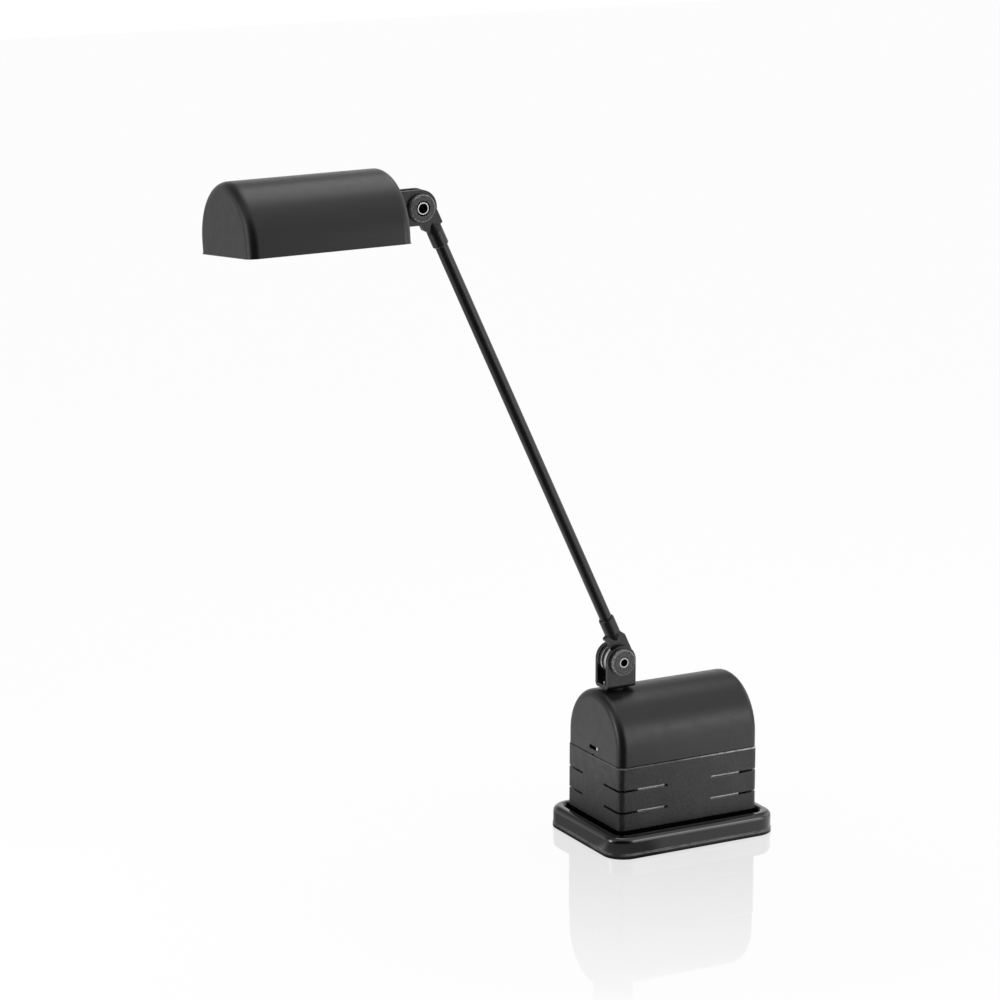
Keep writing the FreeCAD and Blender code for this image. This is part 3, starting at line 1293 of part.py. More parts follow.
def shade_bezel():
    """Frame in the shade's mouth: proud lip, inner ledge and an upstanding wall."""
    body = new_body("shade_bezel")
    width = D["shade_radius"] * 2
    inset = (D["shade_wall"] + D["bezel_fit"]) * 2
    sketch = new_sketch(body)
    draw_block(sketch, D["shade_length"] - inset, width - inset)
    block = pad(body, sketch, D["bezel_upstand"])
    dress(body, "Fillet", block, edges_of(block, upright),
          Radius=D["shade_round"] - D["shade_wall"] - D["bezel_fit"])
    lip = D["bezel_lip"] * 2
    sketch = new_sketch(body)
    draw_block(sketch, D["shade_length"] + lip, width + lip)
    block = pad(body, sketch, D["bezel_thickness"], backwards=True)

    def on_lip(edge, bounds):
        return upright(edge, bounds) and bounds.ZMax < 0.1

    dress(body, "Fillet", block, edges_of(block, on_lip), Radius=D["shade_round"] + D["bezel_lip"])
    inset = inset + D["bezel_wall"] * 2
    sketch = new_sketch(body, lift=D["bezel_upstand"])
    draw_block(sketch, D["shade_length"] - inset, width - inset)
    pocket(body, sketch, D["bezel_upstand"])
    opening = D["bezel_frame"] * 2
    sketch = new_sketch(body)
    draw_block(sketch, D["shade_length"] - opening, width - opening)
    pocket(body, sketch, D["bezel_thickness"] * 3, symmetric=True)
    keep(body, "shade_bezel", shade_place(shade_mid_x, ZERO, shade_foot))


def reflector():
    """Trough with closed ends on a flange that rests on the bezel's wall."""
    body = new_body("reflector")
    inset = (D["shade_wall"] + D["bezel_fit"] + 0.3) * 2
    sheet_size = D["reflector_sheet"]
    trough_length = D["shade_length"] - D["reflector_end_gap"] * 2
    outer = D["reflector_radius"] + sheet_size
    sketch = new_sketch(body)
    draw_block(sketch, D["shade_length"] - inset, D["shade_radius"] * 2 - inset)
    block = pad(body, sketch, sheet_size)
    dress(body, "Fillet", block, edges_of(block, upright),
          Radius=D["shade_round"] - D["shade_wall"])
    sketch = new_sketch(body, "YZ_Plane")
    draw_outline(sketch, [(-outer, ZERO), (outer, ZERO)], {1: (ZERO, ZERO)})
    pad(body, sketch, trough_length, symmetric=True)
    sketch = new_sketch(body, "YZ_Plane")
    inner = D["reflector_radius"]
    draw_outline(sketch, [(-inner, ZERO), (inner, ZERO)], {1: (ZERO, ZERO)})
    pocket(body, sketch, trough_length - sheet_size * 2, symmetric=True)
    lamp_z = D["shade_bolt_rise"] + D["shade_skirt"] - D["bezel_upstand"] - D["lamp_drop"]
    sketch = new_sketch(body, "YZ_Plane", lift=trough_length / 2)
    draw_circle(sketch, D["lamp_hole"], ZERO, lamp_z)
    pocket(body, sketch, sheet_size * 4, symmetric=True)
    keep(body, "reflector", shade_place(shade_mid_x, ZERO, shade_foot + D["bezel_upstand"]))


def lamp_parts():
    """Ceramic holder on the end wall and the glass capsule lamp plugged into it."""
    turn = Rotation(Vector(0, 1, 0), -90)
    body = new_body("lamp_holder")
    sketch = new_sketch(body)
    draw_block(sketch, D["holder_height"], D["holder_width"])
    block = pad(body, sketch, D["holder_length"])
    dress(body, "Chamfer", block, edges_of(block, upright), Size=1.2)
    sketch = new_sketch(body, lift=D["holder_length"])
    for side in SIDES:
        draw_circle(sketch, D["lamp_pin"] / 2 + D["pivot_play"], ZERO,
                    D["lamp_pin_gap"] / 2 * side)
    pocket(body, sketch, D["lamp_pin_length"])
    keep(body, "lamp_holder", shade_place(-D["shade_wall"], ZERO, -D["lamp_drop"], turn))
    body = new_body("halogen_lamp")
    sketch = new_sketch(body, "XZ_Plane")
    base_width = D["lamp_radius"] * 0.8
    shoulder = D["lamp_length"] * 0.28
    length = D["lamp_length"]
    radius = D["lamp_radius"]
    dome = length - radius
    points = [(ZERO, ZERO), (base_width, ZERO), (base_width, shoulder - 2.0), (radius, shoulder),
              (radius, dome), (ZERO, length)]
    draw_outline(sketch, points, {4: (ZERO, dome)})
    revolve(body, "Revolution", sketch)
    sketch = new_sketch(body)
    for side in SIDES:
        draw_circle(sketch, D["lamp_pin"] / 2, ZERO, D["lamp_pin_gap"] / 2 * side)
    pad(body, sketch, D["lamp_pin_length"] - 1.0, backwards=True)
    front = D["shade_wall"] + D["holder_length"]
    keep(body, "halogen_lamp", shade_place(-front, ZERO, -D["lamp_drop"], turn))


def build():
    base_pad()
    base_tray()
    base_screws()
    ballast_plate()
    housing_shell()
    dome_cover()
    cover_latches()
    transformer_core()
    transformer_bobbin()
    transformer_winding()
    transformer_brackets()
    transformer_bolts()
    terminal_block()
    switch_frame()
    switch_rocker()
    inlet_gland()
    swivel_spacer()
    swivel_seat()
    swivel_hardware()
    clevis("lower_clevis", D["lower_clevis_width"], D["lower_clevis_depth"],
           D["lower_pivot_reach"], D["swivel_screw"] / 2 + D["pivot_play"],
           at(joint_x, 0, clevis_base), True)
    joint_stack("lower", lower_pivot, -ear_front, ear_front)
    lower_inner_stack()
    arm_fitting("lower_fitting", 1)
    arm_tube()
    arm_fitting("upper_fitting", -1)
    upper_clevis_parts()
    joint_stack("upper", upper_pivot, upper_front, upper_back)
    shade_spacer()
    shade_shell()
    shade_bezel()
    reflector()
    lamp_parts()


def check():
    """Stop on any failed feature and on any empty or invalid sub-part."""
    doc.recompute()
    faults = []
    for thing in doc.Objects:
        if "Invalid" in thing.State or "Error" in thing.State:
            faults.append("%s (%s): %s" % (thing.Name, thing.Label, thing.State))
    for part in SUB_PARTS:
        if part.Shape.isNull() or not part.Shape.isValid():
            faults.append("%s has no valid shape" % part.Label)
    if faults:
        raise ValueError("; ".join(faults))


def export():
    os.makedirs("parts", exist_ok=True)
    for part in SUB_PARTS:
        part.Shape.exportStep("parts/%s.step" % part.Label)
        print("%-24s solids %d  volume %10.1f" % (part.Label, len(part.Shape.Solids), part.Shape.Volume))


build()
check()
export()
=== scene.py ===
import json
import math

import bmesh
import bpy
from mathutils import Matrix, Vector

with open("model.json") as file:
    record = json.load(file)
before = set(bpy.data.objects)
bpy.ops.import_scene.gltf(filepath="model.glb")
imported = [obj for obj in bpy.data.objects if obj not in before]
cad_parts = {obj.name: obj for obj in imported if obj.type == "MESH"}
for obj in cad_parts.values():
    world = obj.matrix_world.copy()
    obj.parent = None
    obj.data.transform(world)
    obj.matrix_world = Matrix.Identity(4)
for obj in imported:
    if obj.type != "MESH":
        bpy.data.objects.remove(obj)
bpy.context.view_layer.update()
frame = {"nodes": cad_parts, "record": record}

scene = bpy.context.scene

# Lengths are in metres, greys are linear and levels of light count 1 as white.
X, Y, Z = 0, 1, 2

# Pivots of the arm's two joints
PLACES = {joint["name"]: Vector(joint["pos_m"]) for joint in frame["record"]["behaviour"]["joints"]}
LOWER_PIVOT = PLACES["arm_tilt"]
UPPER_PIVOT = PLACES["head_tilt"]

# Patterns that all finishes share
SHINE = 0.5
MOTTLE_SCALE = 18.0
GLOSS_SCALE = 126.0
WEAR_SCALE = 700.0
WEAR_REACH = 0.0006
GRAIN_STRENGTH = 0.55
SHADED_GREY = 0.003

# Details of single pieces: from where to where a mark fades in or out
EYE_RING = (0.0126, 0.0132)
EYE_FRONT = (-0.0042, -0.0034)
DISC_RIM = (0.0099, 0.02)
SEAM_HEIGHT = (0.0708, 0.0711)
SEAM_LENGTH = (-0.03, 0.066)
SEAM_DEPTH = (-0.03, 0.01)
COVER_FOOT = (0.0726, 0.0730)
TRAY_SIDE_X = (0.074, 0.077)
TRAY_SIDE_Y = (0.053, 0.056)
TRAY_BEAD = (0.0032, 0.0048)
TRAY_FOOT = (0.0021, 0.0025)
LATCH_TIP = (-0.0042, -0.0038)

# Directions from the lamp across the table. The left faces mirror what lies at the far left,
# the front faces what lies at the front right.
TO_BACKDROP = (0.52, 0.854, 0.0)
TO_FAR_LEFT = (-0.61, 0.79, 0.0)
TO_FAR_RIGHT = (0.92, 0.39, 0.0)
TO_FRONT_RIGHT = (0.51, -0.86, 0.0)

# Studio: cosines between which each part begins, and its level
CAMERA_SIDE = (-0.82, -0.46)
CAMERA_SIDE_LEVEL = 0.03
LEFT_SIDE = (0.45, 0.85)
LEFT_LEVEL = 0.62
RIGHT_SIDE = (0.82, 0.95)
RIGHT_LEVEL = 0.65
FRONT_SIDE = (0.5, 0.9)
CEILING_HEIGHT = (0.28, 0.6)
CEILING_DEPTH = (-0.25, 0.35)
CEILING_LEVELS = (0.95, 0.30)
DIFFUSE_LEVEL = 1.1
MIRRORED_LEVEL = 1.0

# Floor as the camera sees it; its mirror image is whole up to POLISH_WHOLE, falls to POLISH_LAST
# at the first radius of POLISH_END and is gone at the second
SHEET_HALF = 6.0
SHEET_GREY = 0.88
SHADOW_SHARE = 0.05
MIRROR_SHARE = 0.24
MIRROR_ROUGHNESS = 0.03
POLISH_WHOLE = 0.06
POLISH_END = (0.35, 0.41)
POLISH_LAST = 0.3

# Floor as polished surfaces mirror it: two radii and a level for a mark that fades outwards,
# and two radii, a soft edge and a level for a ring
SHEET_MIDDLE = (-0.05, -0.02, 0.0)
NEAR_FLOOR = (0.10, 0.20, 0.4)
FRONT_SHADE = (0.14, 0.24, 0.25)
LEFT_SHADE = (0.12, 0.22, 0.5)
FRONT_POOL = (0.36, 0.80, 0.30)
FRONT_POOL_LEVEL = 0.7
LEFT_POOL = (0.22, 0.45, 0.08)
LEFT_POOL_LEVEL = 0.7

# Softboxes: place, target, width and height, power in watts
LIGHTS = {
    "top_softbox": ((0.15, 0.28, 1.45), (-0.15, 0.15, 0.3), (0.7, 1.3), 5.2),
    "front_right_softbox": ((0.65, -1.00, 0.40), (0.0, 0.0, 0.15), (0.6, 0.8), 1.9),
    "right_softbox": ((1.3, 0.1, 0.6), (0.0, 0.0, 0.2), (0.8, 0.9), 1.3),
    "left_softbox": ((-1.3, 0.15, 0.45), (0.0, 0.0, 0.2), (0.6, 0.9), 2.3),
    "left_strip": ((-0.75, 0.05, 0.16), (0.0, 0.0, 0.04), (0.10, 0.16), 0.55),
    "front_strip": ((0.475, -0.79, 0.43), (0.0, -0.05, 0.02), (0.40, 0.10), 0.4),
}


def grey(value):
    return (value, value, value, 1.0)


class Nodes:
    """Short-hand for building one node tree."""

    def __init__(self, tree):
        self.tree = tree

    def add(self, kind, **values):
        node = self.tree.nodes.new(kind)
        for key, value in values.items():
            setattr(node, key, value)
        return node

    def link(self, start, end):
        self.tree.links.new(start, end)

    def put(self, value, socket):
        """A number or vector is set on the socket, another node's output is linked to it."""
        if isinstance(value, bpy.types.NodeSocket):
            self.link(value, socket)
        else:
            socket.default_value = value

    def math(self, operation, first, second=0.0):
        node = self.add("ShaderNodeMath", operation=operation)
        self.put(first, node.inputs[0])
        self.put(second, node.inputs[1])
        return node.outputs[0]

    def product(self, first, *others):
        for other in others:
            first = self.math("MULTIPLY", first, other)
        return first

    def rest(self, mask):
        """One where the mask is zero, zero where it is one."""
        return self.math("SUBTRACT", 1.0, mask)

    def vector(self, operation, first, second=(0.0, 0.0, 0.0)):
        node = self.add("ShaderNodeVectorMath", operation=operation)
        self.put(first, node.inputs[0])
        self.put(second, node.inputs[1])
        return node.outputs["Value" if operation in ("LENGTH", "DOT_PRODUCT") else "Vector"]

    def part(self, value, index):
        """One coordinate of a vector."""
        node = self.add("ShaderNodeSeparateXYZ")
        self.link(value, node.inputs[0])
        return node.outputs[index]

    def ramp(self, value, start, stop, low=0.0, high=1.0):
        """Goes smoothly from low to high while the value goes from start to stop."""
        node = self.add("ShaderNodeMapRange", interpolation_type="SMOOTHSTEP")
        self.link(value, node.inputs["Value"])
        node.inputs["From Min"].default_value = start
        node.inputs["From Max"].default_value = stop
        node.inputs["To Min"].default_value = low
        node.inputs["To Max"].default_value = high
        return node.outputs["Result"]

    def fall(self, value, start, stop, level=1.0):
        """Goes smoothly from the level to zero while the value goes from start to stop."""
        return self.ramp(value, start, stop, level, 0.0)

    def band(self, value, start, stop, soft):
        """One between start and stop, zero outside."""
        return self.product(self.ramp(value, start - soft, start), self.fall(value, stop, stop + soft))

    def mix(self, factor, low, high):
        """Blends two colours, on the sockets that the node keeps for colours."""
        node = self.add("ShaderNodeMix", data_type="RGBA")
        self.put(factor, node.inputs[0])
        self.put(low, node.inputs[6])
        self.put(high, node.inputs[7])
        return node.outputs[2]

    def blend(self, factor, low, high):
        """Blends two shaders."""
        node = self.add("ShaderNodeMixShader")
        self.put(factor, node.inputs[0])
        self.link(low, node.inputs[1])
        self.link(high, node.inputs[2])
        return node.outputs[0]

    def noise(self, place, scale, detail=3.0, rough=0.55):
        node = self.add("ShaderNodeTexNoise")
        node.inputs["Scale"].default_value = scale
        node.inputs["Detail"].default_value = detail
        node.inputs["Roughness"].default_value = rough
        self.link(place, node.inputs["Vector"])
        return node.outputs["Fac"]

    def rays(self):
        """Masks of the camera's rays and of the rays that polished and clear surfaces send on."""
        ray = self.add("ShaderNodeLightPath")
        sent_on = self.math("MAXIMUM", ray.outputs["Is Glossy Ray"], ray.outputs["Is Transmission Ray"])
        return ray.outputs["Is Camera Ray"], sent_on


class Finish(Nodes):
    """One material: a principled shader with the places that its patterns need."""

    def __init__(self, name, **numbers):
        self.material = bpy.data.materials.new(name)
        self.material.use_nodes = True
        super().__init__(self.material.node_tree)
        self.shader = self.tree.nodes["Principled BSDF"]
        for socket, value in numbers.items():
            self.shader.inputs[socket.replace("_", " ")].default_value = value
        place = self.add("ShaderNodeTexCoord")
        self.place = place.outputs["Object"]
        self.facing = place.outputs["Normal"]

    def set(self, value, socket):
        self.put(value, self.shader.inputs[socket])

    def axis(self, index):
        return self.part(self.place, index)

    def speck(self, scale, start, stop, low=0.0, high=1.0, detail=3.0, rough=0.55):
        """Noise of a scale per metre, with the values between start and stop spread out."""
        return self.ramp(self.noise(self.place, scale, detail, rough), start, stop, low, high)

    def waves(self, direction, scale, distortion):
        node = self.add("ShaderNodeTexWave", wave_type="BANDS", bands_direction=direction)
        node.inputs["Scale"].default_value = scale
        node.inputs["Distortion"].default_value = distortion
        self.link(self.place, node.inputs["Vector"])
        return node.outputs["Fac"]

    def edges(self, radius):
        """One on sharp edges, zero on open surfaces."""
        bevel = self.add("ShaderNodeBevel", samples=4)
        bevel.inputs["Radius"].default_value = radius
        plain = self.add("ShaderNodeNewGeometry")
        cosine = self.vector("DOT_PRODUCT", bevel.outputs["Normal"], plain.outputs["Normal"])
        return self.ramp(cosine, 0.985, 0.80)

    def distance(self, pivot):
        """Distance from a pivot's axis, which lies along Y."""
        away = self.vector("SUBTRACT", self.place, tuple(pivot))
        return self.vector("LENGTH", self.vector("MULTIPLY", away, (1.0, 0.0, 1.0)))

    def matt(self, mask):
        """Takes the shine off where the mask is one."""
        self.set(self.product(self.rest(mask), SHINE), "Specular IOR Level")

    def bump(self, height, strength, depth):
        node = self.add("ShaderNodeBump")
        node.inputs["Strength"].default_value = strength
        node.inputs["Distance"].default_value = depth
        self.link(height, node.inputs["Height"])
        self.set(node.outputs["Normal"], "Normal")


def surface(name, dark, light, roughness, grain, depth, edge=None, wear=0.0, marks=None,
            tint=(1.0, 1.0, 1.0), gloss_spread=0.05, **numbers):
    """Fine grain, slow mottling, uneven gloss and worn edges; marks adds a piece's own details."""
    finish = Finish(name, **numbers)
    slow = finish.speck(MOTTLE_SCALE, 0.3, 0.7, rough=0.6)
    fine = finish.speck(grain / 2.0, 0.35, 0.65, detail=2.0)
    tone = finish.math("ADD", finish.product(slow, 0.6), finish.product(fine, 0.4))
    colour = finish.mix(tone, tuple(dark * part for part in tint) + (1.0,),
                        tuple(light * part for part in tint) + (1.0,))
    gloss = finish.speck(GLOSS_SCALE, 0.3, 0.7, roughness - gloss_spread, roughness + gloss_spread,
                         detail=4.0)
    if edge:
        broken = finish.speck(WEAR_SCALE, 0.35, 0.6, 0.2, 1.0, detail=2.0)
        colour = finish.mix(finish.product(finish.edges(WEAR_REACH), broken, wear), colour, grey(edge))
    if marks:
        colour = marks(finish, colour)
    finish.set(colour, "Base Color")
    finish.set(gloss, "Roughness")
    finish.bump(finish.noise(finish.place, grain, 2.0, 0.5), GRAIN_STRENGTH, depth)
    return finish.material


def paint(name, marks=None):
    """Dark semi-matt paint on metal."""
    return surface(name, 0.004, 0.0065, 0.37, 2600.0, 0.00003, edge=0.06, wear=0.35, marks=marks,
                   gloss_spread=0.03, Specular_IOR_Level=SHINE)


def moulding(name, marks=None, grain=1300.0, depth=0.00022):
    """Black plastic with a spark-eroded grain."""
    return surface(name, 0.006, 0.022, 0.40, grain, depth, edge=0.09, wear=0.4, marks=marks,
                   Specular_IOR_Level=SHINE)


def bright_eye(pivot):
    """Bare metal round the edge of a tongue's eye, only on its front and mostly on top: partly wear,
    partly painted highlight.
    """
    def marks(finish, colour):
        ring = finish.band(finish.distance(pivot), *EYE_RING, 0.0002)
        rim = finish.fall(finish.math("ABSOLUTE", finish.part(finish.facing, Y)), 0.3, 0.6)
        front = finish.fall(finish.axis(Y), *EYE_FRONT)
        # lighter towards the top: painted highlight
        upper = finish.ramp(finish.axis(Z), pivot.z - 0.006, pivot.z + 0.004, 0.12, 1.0)
        bare_and_highlight = finish.product(ring, rim, front, upper)
        finish.set(bare_and_highlight, "Metallic")
        return finish.mix(bare_and_highlight, colour, grey(0.72))
    return marks


def dark_bore(pivot, radius):
    """A bolt's head with the shade inside its socket."""
    def marks(finish, colour):
        hole = finish.fall(finish.distance(pivot), radius - 0.0001, radius + 0.0001)
        finish.set(finish.rest(hole), "Metallic")
        finish.matt(hole)
        return finish.mix(hole, colour, grey(SHADED_GREY))
    return marks


def cast_grain(pivot, recess):
    """Coarse cast grain with a lighter rim, partly wear and partly painted highlight, and painted shade
    in the recess round the bolt's head.
    """
    def marks(finish, colour):
        grains = finish.speck(1000.0, 0.44, 0.60, detail=2.0, rough=0.7)
        face = finish.mix(grains, grey(0.005), grey(0.10))
        rim = finish.mix(grains, grey(0.10), grey(0.36))
        edge = finish.band(finish.distance(pivot), *DISC_RIM, 0.0003)
        painted_shade = finish.fall(finish.distance(pivot), recess, recess + 0.0002)
        finish.matt(painted_shade)
        return finish.mix(painted_shade, finish.mix(edge, face, rim), grey(SHADED_GREY))
    return marks


def seam_highlight(finish, colour):
    """A painted highlight along the housing's top edge, strongest at its right end and in front."""
    edge = finish.ramp(finish.axis(Z), *SEAM_HEIGHT)
    along = finish.ramp(finish.axis(X), *SEAM_LENGTH, 0.15, 1.0)
    front = finish.ramp(finish.axis(Y), *SEAM_DEPTH, 1.0, 0.25)
    broken = finish.speck(260.0, 0.35, 0.55, 0.5, 1.0, detail=2.0)
    return finish.mix(finish.product(edge, along, front, broken), colour, grey(0.60))


def shaded_foot(finish, colour):
    """The cover's lower edge stays dark where it meets the housing."""
    finish.matt(finish.fall(finish.axis(Z), *COVER_FOOT))
    return colour


def bead_highlight_and_shade(finish, colour):
    """The tray's foot: a painted highlight on the bead's crest, and a dark edge below it, painted shade
    with the shine taken off.
    """
    height = finish.axis(Z)
    ends = finish.ramp(finish.math("ABSOLUTE", finish.axis(X)), *TRAY_SIDE_X)
    sides = finish.ramp(finish.math("ABSOLUTE", finish.axis(Y)), *TRAY_SIDE_Y)
    painted_highlight = finish.product(finish.band(height, *TRAY_BEAD, 0.0003), finish.math("MAXIMUM", ends, sides),
                            finish.speck(90.0, 0.35, 0.6, 0.4, 1.0))
    # painted shade: no shine on the lowest edge of the tray
    finish.matt(finish.fall(height, *TRAY_FOOT))
    return finish.mix(painted_highlight, colour, grey(0.11))


def laminations(finish, colour):
    """Edges of the stacked sheets, with dark lines of varnish between them and a little rust."""
    lines = finish.ramp(finish.waves("X", 320.0, 1.2), 0.02, 0.25)
    rust = finish.speck(130.0, 0.55, 0.8, detail=4.0)
    return finish.mix(finish.product(rust, 0.35), finish.mix(lines, grey(0.2), colour),
                      (0.20, 0.15, 0.11, 1.0))


def windings(finish, colour):
    """Turns of enamelled wire with dark gaps."""
    turns = finish.ramp(finish.waves("Z", 420.0, 0.6), 0.2, 0.6)
    return finish.mix(turns, (0.09, 0.03, 0.012, 1.0), colour)


def latch_tongue(finish, colour):
    """Painted shade over the spring tab, which keeps its bright steel only at one end."""
    bright = finish.fall(finish.axis(Y), *LATCH_TIP)
    finish.set(bright, "Metallic")
    finish.matt(finish.rest(bright))
    return finish.mix(bright, grey(SHADED_GREY), colour)


def brushed(finish, colour):
    """Lines left by turning and brushing."""
    stretched = finish.vector("MULTIPLY", finish.place, (40.0, 900.0, 900.0))
    lines = finish.ramp(finish.noise(stretched, 1.0), 0.3, 0.7, 0.82, 1.0)
    shade = finish.add("ShaderNodeCombineXYZ")
    for socket in shade.inputs:
        finish.link(lines, socket)
    return finish.vector("MULTIPLY", colour, shade.outputs[0])


def clear_glass(name):
    """Clear glass with a slight haze."""
    finish = Finish(name, Base_Color=(0.95, 0.96, 0.96, 1.0), Transmission_Weight=0.9, IOR=1.47)
    finish.set(finish.speck(160.0, 0.3, 0.7, 0.02, 0.07), "Roughness")
    finish.bump(finish.noise(finish.place, 220.0), 0.1, 0.00002)
    return finish.material


# Finish of each slot. The numbers of a surface are its dark and light grey, its roughness,
# and the scale and depth of its grain.
MATERIALS = {
    "matt_black_paint": paint("matt_black_paint"),
    "textured_black": moulding("textured_black"),
    "gloss_black": surface("gloss_black", 0.0035, 0.006, 0.11, 700.0, 0.000012, edge=0.05, wear=0.25,
                           gloss_spread=0.03, Specular_IOR_Level=SHINE, Coat_Weight=0.25,
                           Coat_Roughness=0.06),
    "black_steel": surface("black_steel", 0.010, 0.020, 0.36, 1800.0, 0.00004, edge=0.30, wear=0.5),
    "zinc_steel": surface("zinc_steel", 0.42, 0.56, 0.36, 1200.0, 0.00003, marks=brushed, Metallic=1.0),
    "bright_steel": surface("bright_steel", 0.58, 0.74, 0.24, 1600.0, 0.00002, marks=brushed,
                            Metallic=1.0),
    "core_steel": surface("core_steel", 0.85, 1.0, 0.34, 900.0, 0.00006, marks=laminations,
                          Metallic=0.9),
    "reflector_aluminium": surface("reflector_aluminium", 0.74, 0.86, 0.28, 800.0, 0.00005,
                                   marks=brushed, Metallic=1.0),
    "winding_copper": surface("winding_copper", 0.7, 1.0, 0.38, 500.0, 0.0001, marks=windings,
                              tint=(0.62, 0.26, 0.11), Metallic=0.7),
    "former_plastic": surface("former_plastic", 0.85, 1.0, 0.5, 1200.0, 0.00005,
                              tint=(0.70, 0.66, 0.56)),
    "rubber_black": surface("rubber_black", 0.010, 0.018, 0.70, 1100.0, 0.0001,
                            Specular_IOR_Level=0.3),
    "clear_glass": clear_glass("clear_glass"),
}

# Pieces with details of their own, in place of their slot's finish
OWN = {
    "dome_cover": paint("cover_paint", shaded_foot),
    "base_tray": surface("tray_gloss", 0.0025, 0.004, 0.11, 700.0, 0.000012, edge=0.05, wear=0.3,
                         gloss_spread=0.03, marks=bead_highlight_and_shade, Coat_Weight=0.5, Coat_Roughness=0.10),
    "housing_shell": moulding("housing_moulding", seam_highlight, 850.0, 0.00045),
    # the spacer gets the matt rubber finish so that it reads as the shade under the lower clevis: painted
    # shade
    "swivel_spacer": MATERIALS["rubber_black"],
    "cover_latches": surface("latch_steel", 0.58, 0.74, 0.26, 1600.0, 0.00002, marks=latch_tongue),
}

# Each joint's pivot, greys of its bolt, radius of the bolt's socket and of the disc's recess
JOINTS = {
    "lower": (LOWER_PIVOT, (0.32, 0.48), 0.0032, 0.0043),
    # the upper bolt's greys are lighter than the lower one's: painted highlight
    "upper": (UPPER_PIVOT, (0.42, 0.60), 0.0039, 0.0057),
}
for side, (pivot, greys, socket, recess) in JOINTS.items():
    OWN[side + "_fitting"] = paint(side + "_fitting_paint", bright_eye(pivot))
    OWN[side + "_pivot_bolt"] = surface(side + "_bolt_steel", *greys, 0.28, 1600.0, 0.00002,
                                        marks=dark_bore(pivot, socket))
    OWN[side + "_disc_front"] = moulding(side + "_disc_casting", cast_grain(pivot, recess))
    OWN[side + "_disc_back"] = moulding(side + "_back_disc_casting", cast_grain(pivot, recess))

for part in frame["record"]["subparts"]:
    node = frame["nodes"][part["node"]]
    node.data.materials.clear()
    node.data.materials.append(OWN.get(part["node"], MATERIALS[part["material_slot"]]))


def around(nodes, way):
    """Level of the studio by direction: white behind, softer at the sides, dark by the camera."""
    side = nodes.ramp(nodes.vector("DOT_PRODUCT", way, TO_BACKDROP), *CAMERA_SIDE, CAMERA_SIDE_LEVEL, 1.0)
    left = nodes.ramp(nodes.vector("DOT_PRODUCT", way, TO_FAR_LEFT), *LEFT_SIDE, 1.0, LEFT_LEVEL)
    right = nodes.ramp(nodes.vector("DOT_PRODUCT", way, TO_FAR_RIGHT), *RIGHT_SIDE, 1.0, RIGHT_LEVEL)
    return nodes.product(side, left, right)


def seen_sheet(finish, radius):
    """The sheet as the camera sees it: white, with a light shadow and a mirror image that fades."""
    white = finish.add("ShaderNodeEmission")
    lit = finish.blend(SHADOW_SHARE, white.outputs[0], finish.shader.outputs[0])
    mirror = finish.add("ShaderNodeBsdfAnisotropic")
    mirror.inputs["Roughness"].default_value = MIRROR_ROUGHNESS
    mirror.inputs["Color"].default_value = grey(1.0)
    first, last = POLISH_END
    slope = (1.0 - POLISH_LAST) / (first - POLISH_WHOLE)
    inner = finish.product(finish.math("SUBTRACT", first, radius), slope)
    inner = finish.math("MINIMUM", finish.math("MAXIMUM", inner, 0.0), 1.0 - POLISH_LAST)
    polish = finish.math("ADD", finish.fall(radius, first, last, POLISH_LAST), inner)
    return finish.blend(finish.product(polish, MIRROR_SHARE), lit, mirror.outputs[0])


def mirrored_sheet(finish, radius):
    """The sheet as polished surfaces mirror it: painted dark on the camera's side, with painted shade
    near the lamp and brighter painted pools of light further out at the front and far left."""
    outward = finish.vector("NORMALIZE", finish.vector("SUBTRACT", finish.place, SHEET_MIDDLE))
    side = finish.math("MAXIMUM", around(finish, outward), finish.fall(radius, *NEAR_FLOOR))
    front = finish.ramp(finish.vector("DOT_PRODUCT", outward, TO_FRONT_RIGHT), *FRONT_SIDE)
    left = finish.ramp(finish.vector("DOT_PRODUCT", outward, TO_FAR_LEFT), *LEFT_SIDE)
    pools = finish.math("ADD", finish.product(front, finish.band(radius, *FRONT_POOL), FRONT_POOL_LEVEL),
                        finish.product(left, finish.band(radius, *LEFT_POOL), LEFT_POOL_LEVEL))
    shades = finish.math("ADD", finish.product(front, finish.fall(radius, *FRONT_SHADE)),
                         finish.product(left, finish.fall(radius, *LEFT_SHADE)))
    level = finish.math("SUBTRACT", finish.math("ADD", pools, 1.0), shades)
    sheet = finish.add("ShaderNodeEmission")
    finish.link(finish.product(side, level), sheet.inputs["Strength"])
    return sheet.outputs[0]


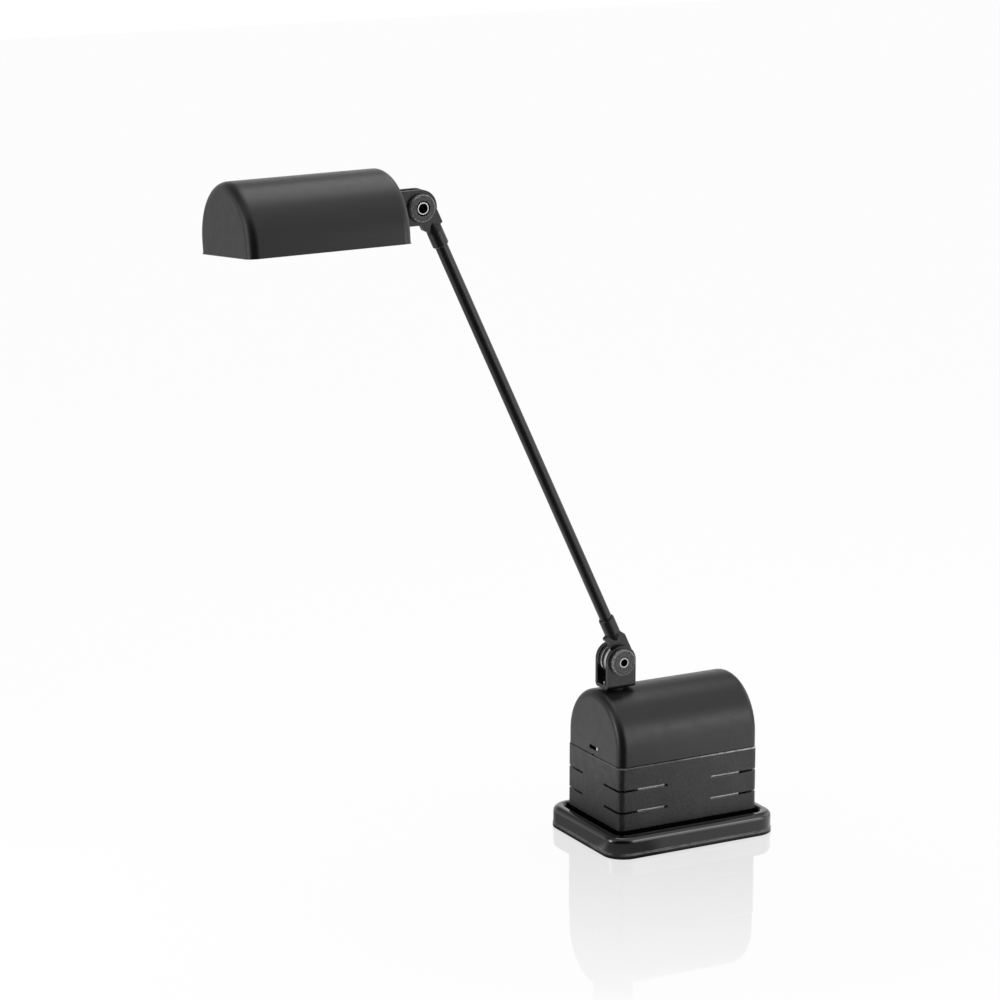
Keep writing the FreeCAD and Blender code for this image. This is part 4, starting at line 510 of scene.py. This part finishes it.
def make_floor():
    """A white sheet; what it shows depends on which surface or camera looks at it."""
    mesh = bpy.data.meshes.new("floor")
    work = bmesh.new()
    corners = [work.verts.new((x * SHEET_HALF, y * SHEET_HALF, 0.0))
               for x, y in ((-1, -1), (1, -1), (1, 1), (-1, 1))]
    work.faces.new(corners)
    work.to_mesh(mesh)
    work.free()
    floor = bpy.data.objects.new("floor", mesh)
    scene.collection.objects.link(floor)
    finish = Finish("floor_white", Base_Color=grey(SHEET_GREY), Roughness=0.6)
    radius = finish.vector("LENGTH", finish.place)
    from_camera, sent_on = finish.rays()
    unseen = finish.blend(sent_on, finish.shader.outputs[0], mirrored_sheet(finish, radius))
    both = finish.blend(from_camera, unseen, seen_sheet(finish, radius))
    finish.link(both, finish.tree.nodes["Material Output"].inputs["Surface"])
    floor.data.materials.append(finish.material)


def make_world():
    """White to the camera. To the lamp it is white behind, dimmer above and dark by the camera."""
    world = bpy.data.worlds.new("studio")
    scene.world = world
    world.use_nodes = True
    nodes = Nodes(world.node_tree)
    way = nodes.add("ShaderNodeTexCoord").outputs["Generated"]
    ceiling = nodes.ramp(nodes.part(way, Y), *CEILING_DEPTH, *CEILING_LEVELS)
    height = nodes.ramp(nodes.part(way, Z), *CEILING_HEIGHT)
    above = nodes.math("ADD", nodes.product(height, ceiling), nodes.rest(height))
    from_camera, sent_on = nodes.rays()
    level = nodes.ramp(sent_on, 0.0, 1.0, DIFFUSE_LEVEL, MIRRORED_LEVEL)
    seen = nodes.add("ShaderNodeMix", data_type="FLOAT")
    nodes.link(from_camera, seen.inputs[0])
    nodes.link(nodes.product(around(nodes, way), above, level), seen.inputs[2])
    seen.inputs[3].default_value = 1.0
    background = nodes.tree.nodes["Background"]
    nodes.link(seen.outputs[0], background.inputs["Strength"])
    background.inputs["Color"].default_value = grey(1.0)


def make_light(name, place, target, size, power):
    light = bpy.data.lights.new(name, "AREA")
    light.shape = "RECTANGLE"
    light.size, light.size_y = size
    light.energy = power
    lamp = bpy.data.objects.new(name, light)
    lamp.location = place
    lamp.visible_camera = False
    lamp.rotation_euler = (Vector(target) - Vector(place)).to_track_quat("-Z", "Y").to_euler()
    scene.collection.objects.link(lamp)


make_floor()
make_world()
for name, light in LIGHTS.items():
    make_light(name, *light)

camera = bpy.data.cameras.new("camera")
camera.sensor_width = 36.0
camera.lens = 127.96
camera.clip_end = 30.0
view = bpy.data.objects.new("camera", camera)
view.location = (-1.4467, -2.3904, 0.9468)
view.rotation_euler = (math.radians(76.5253), 0.0, math.radians(-28.4475))
scene.collection.objects.link(view)
scene.camera = view
scene.view_settings.view_transform = "Standard"
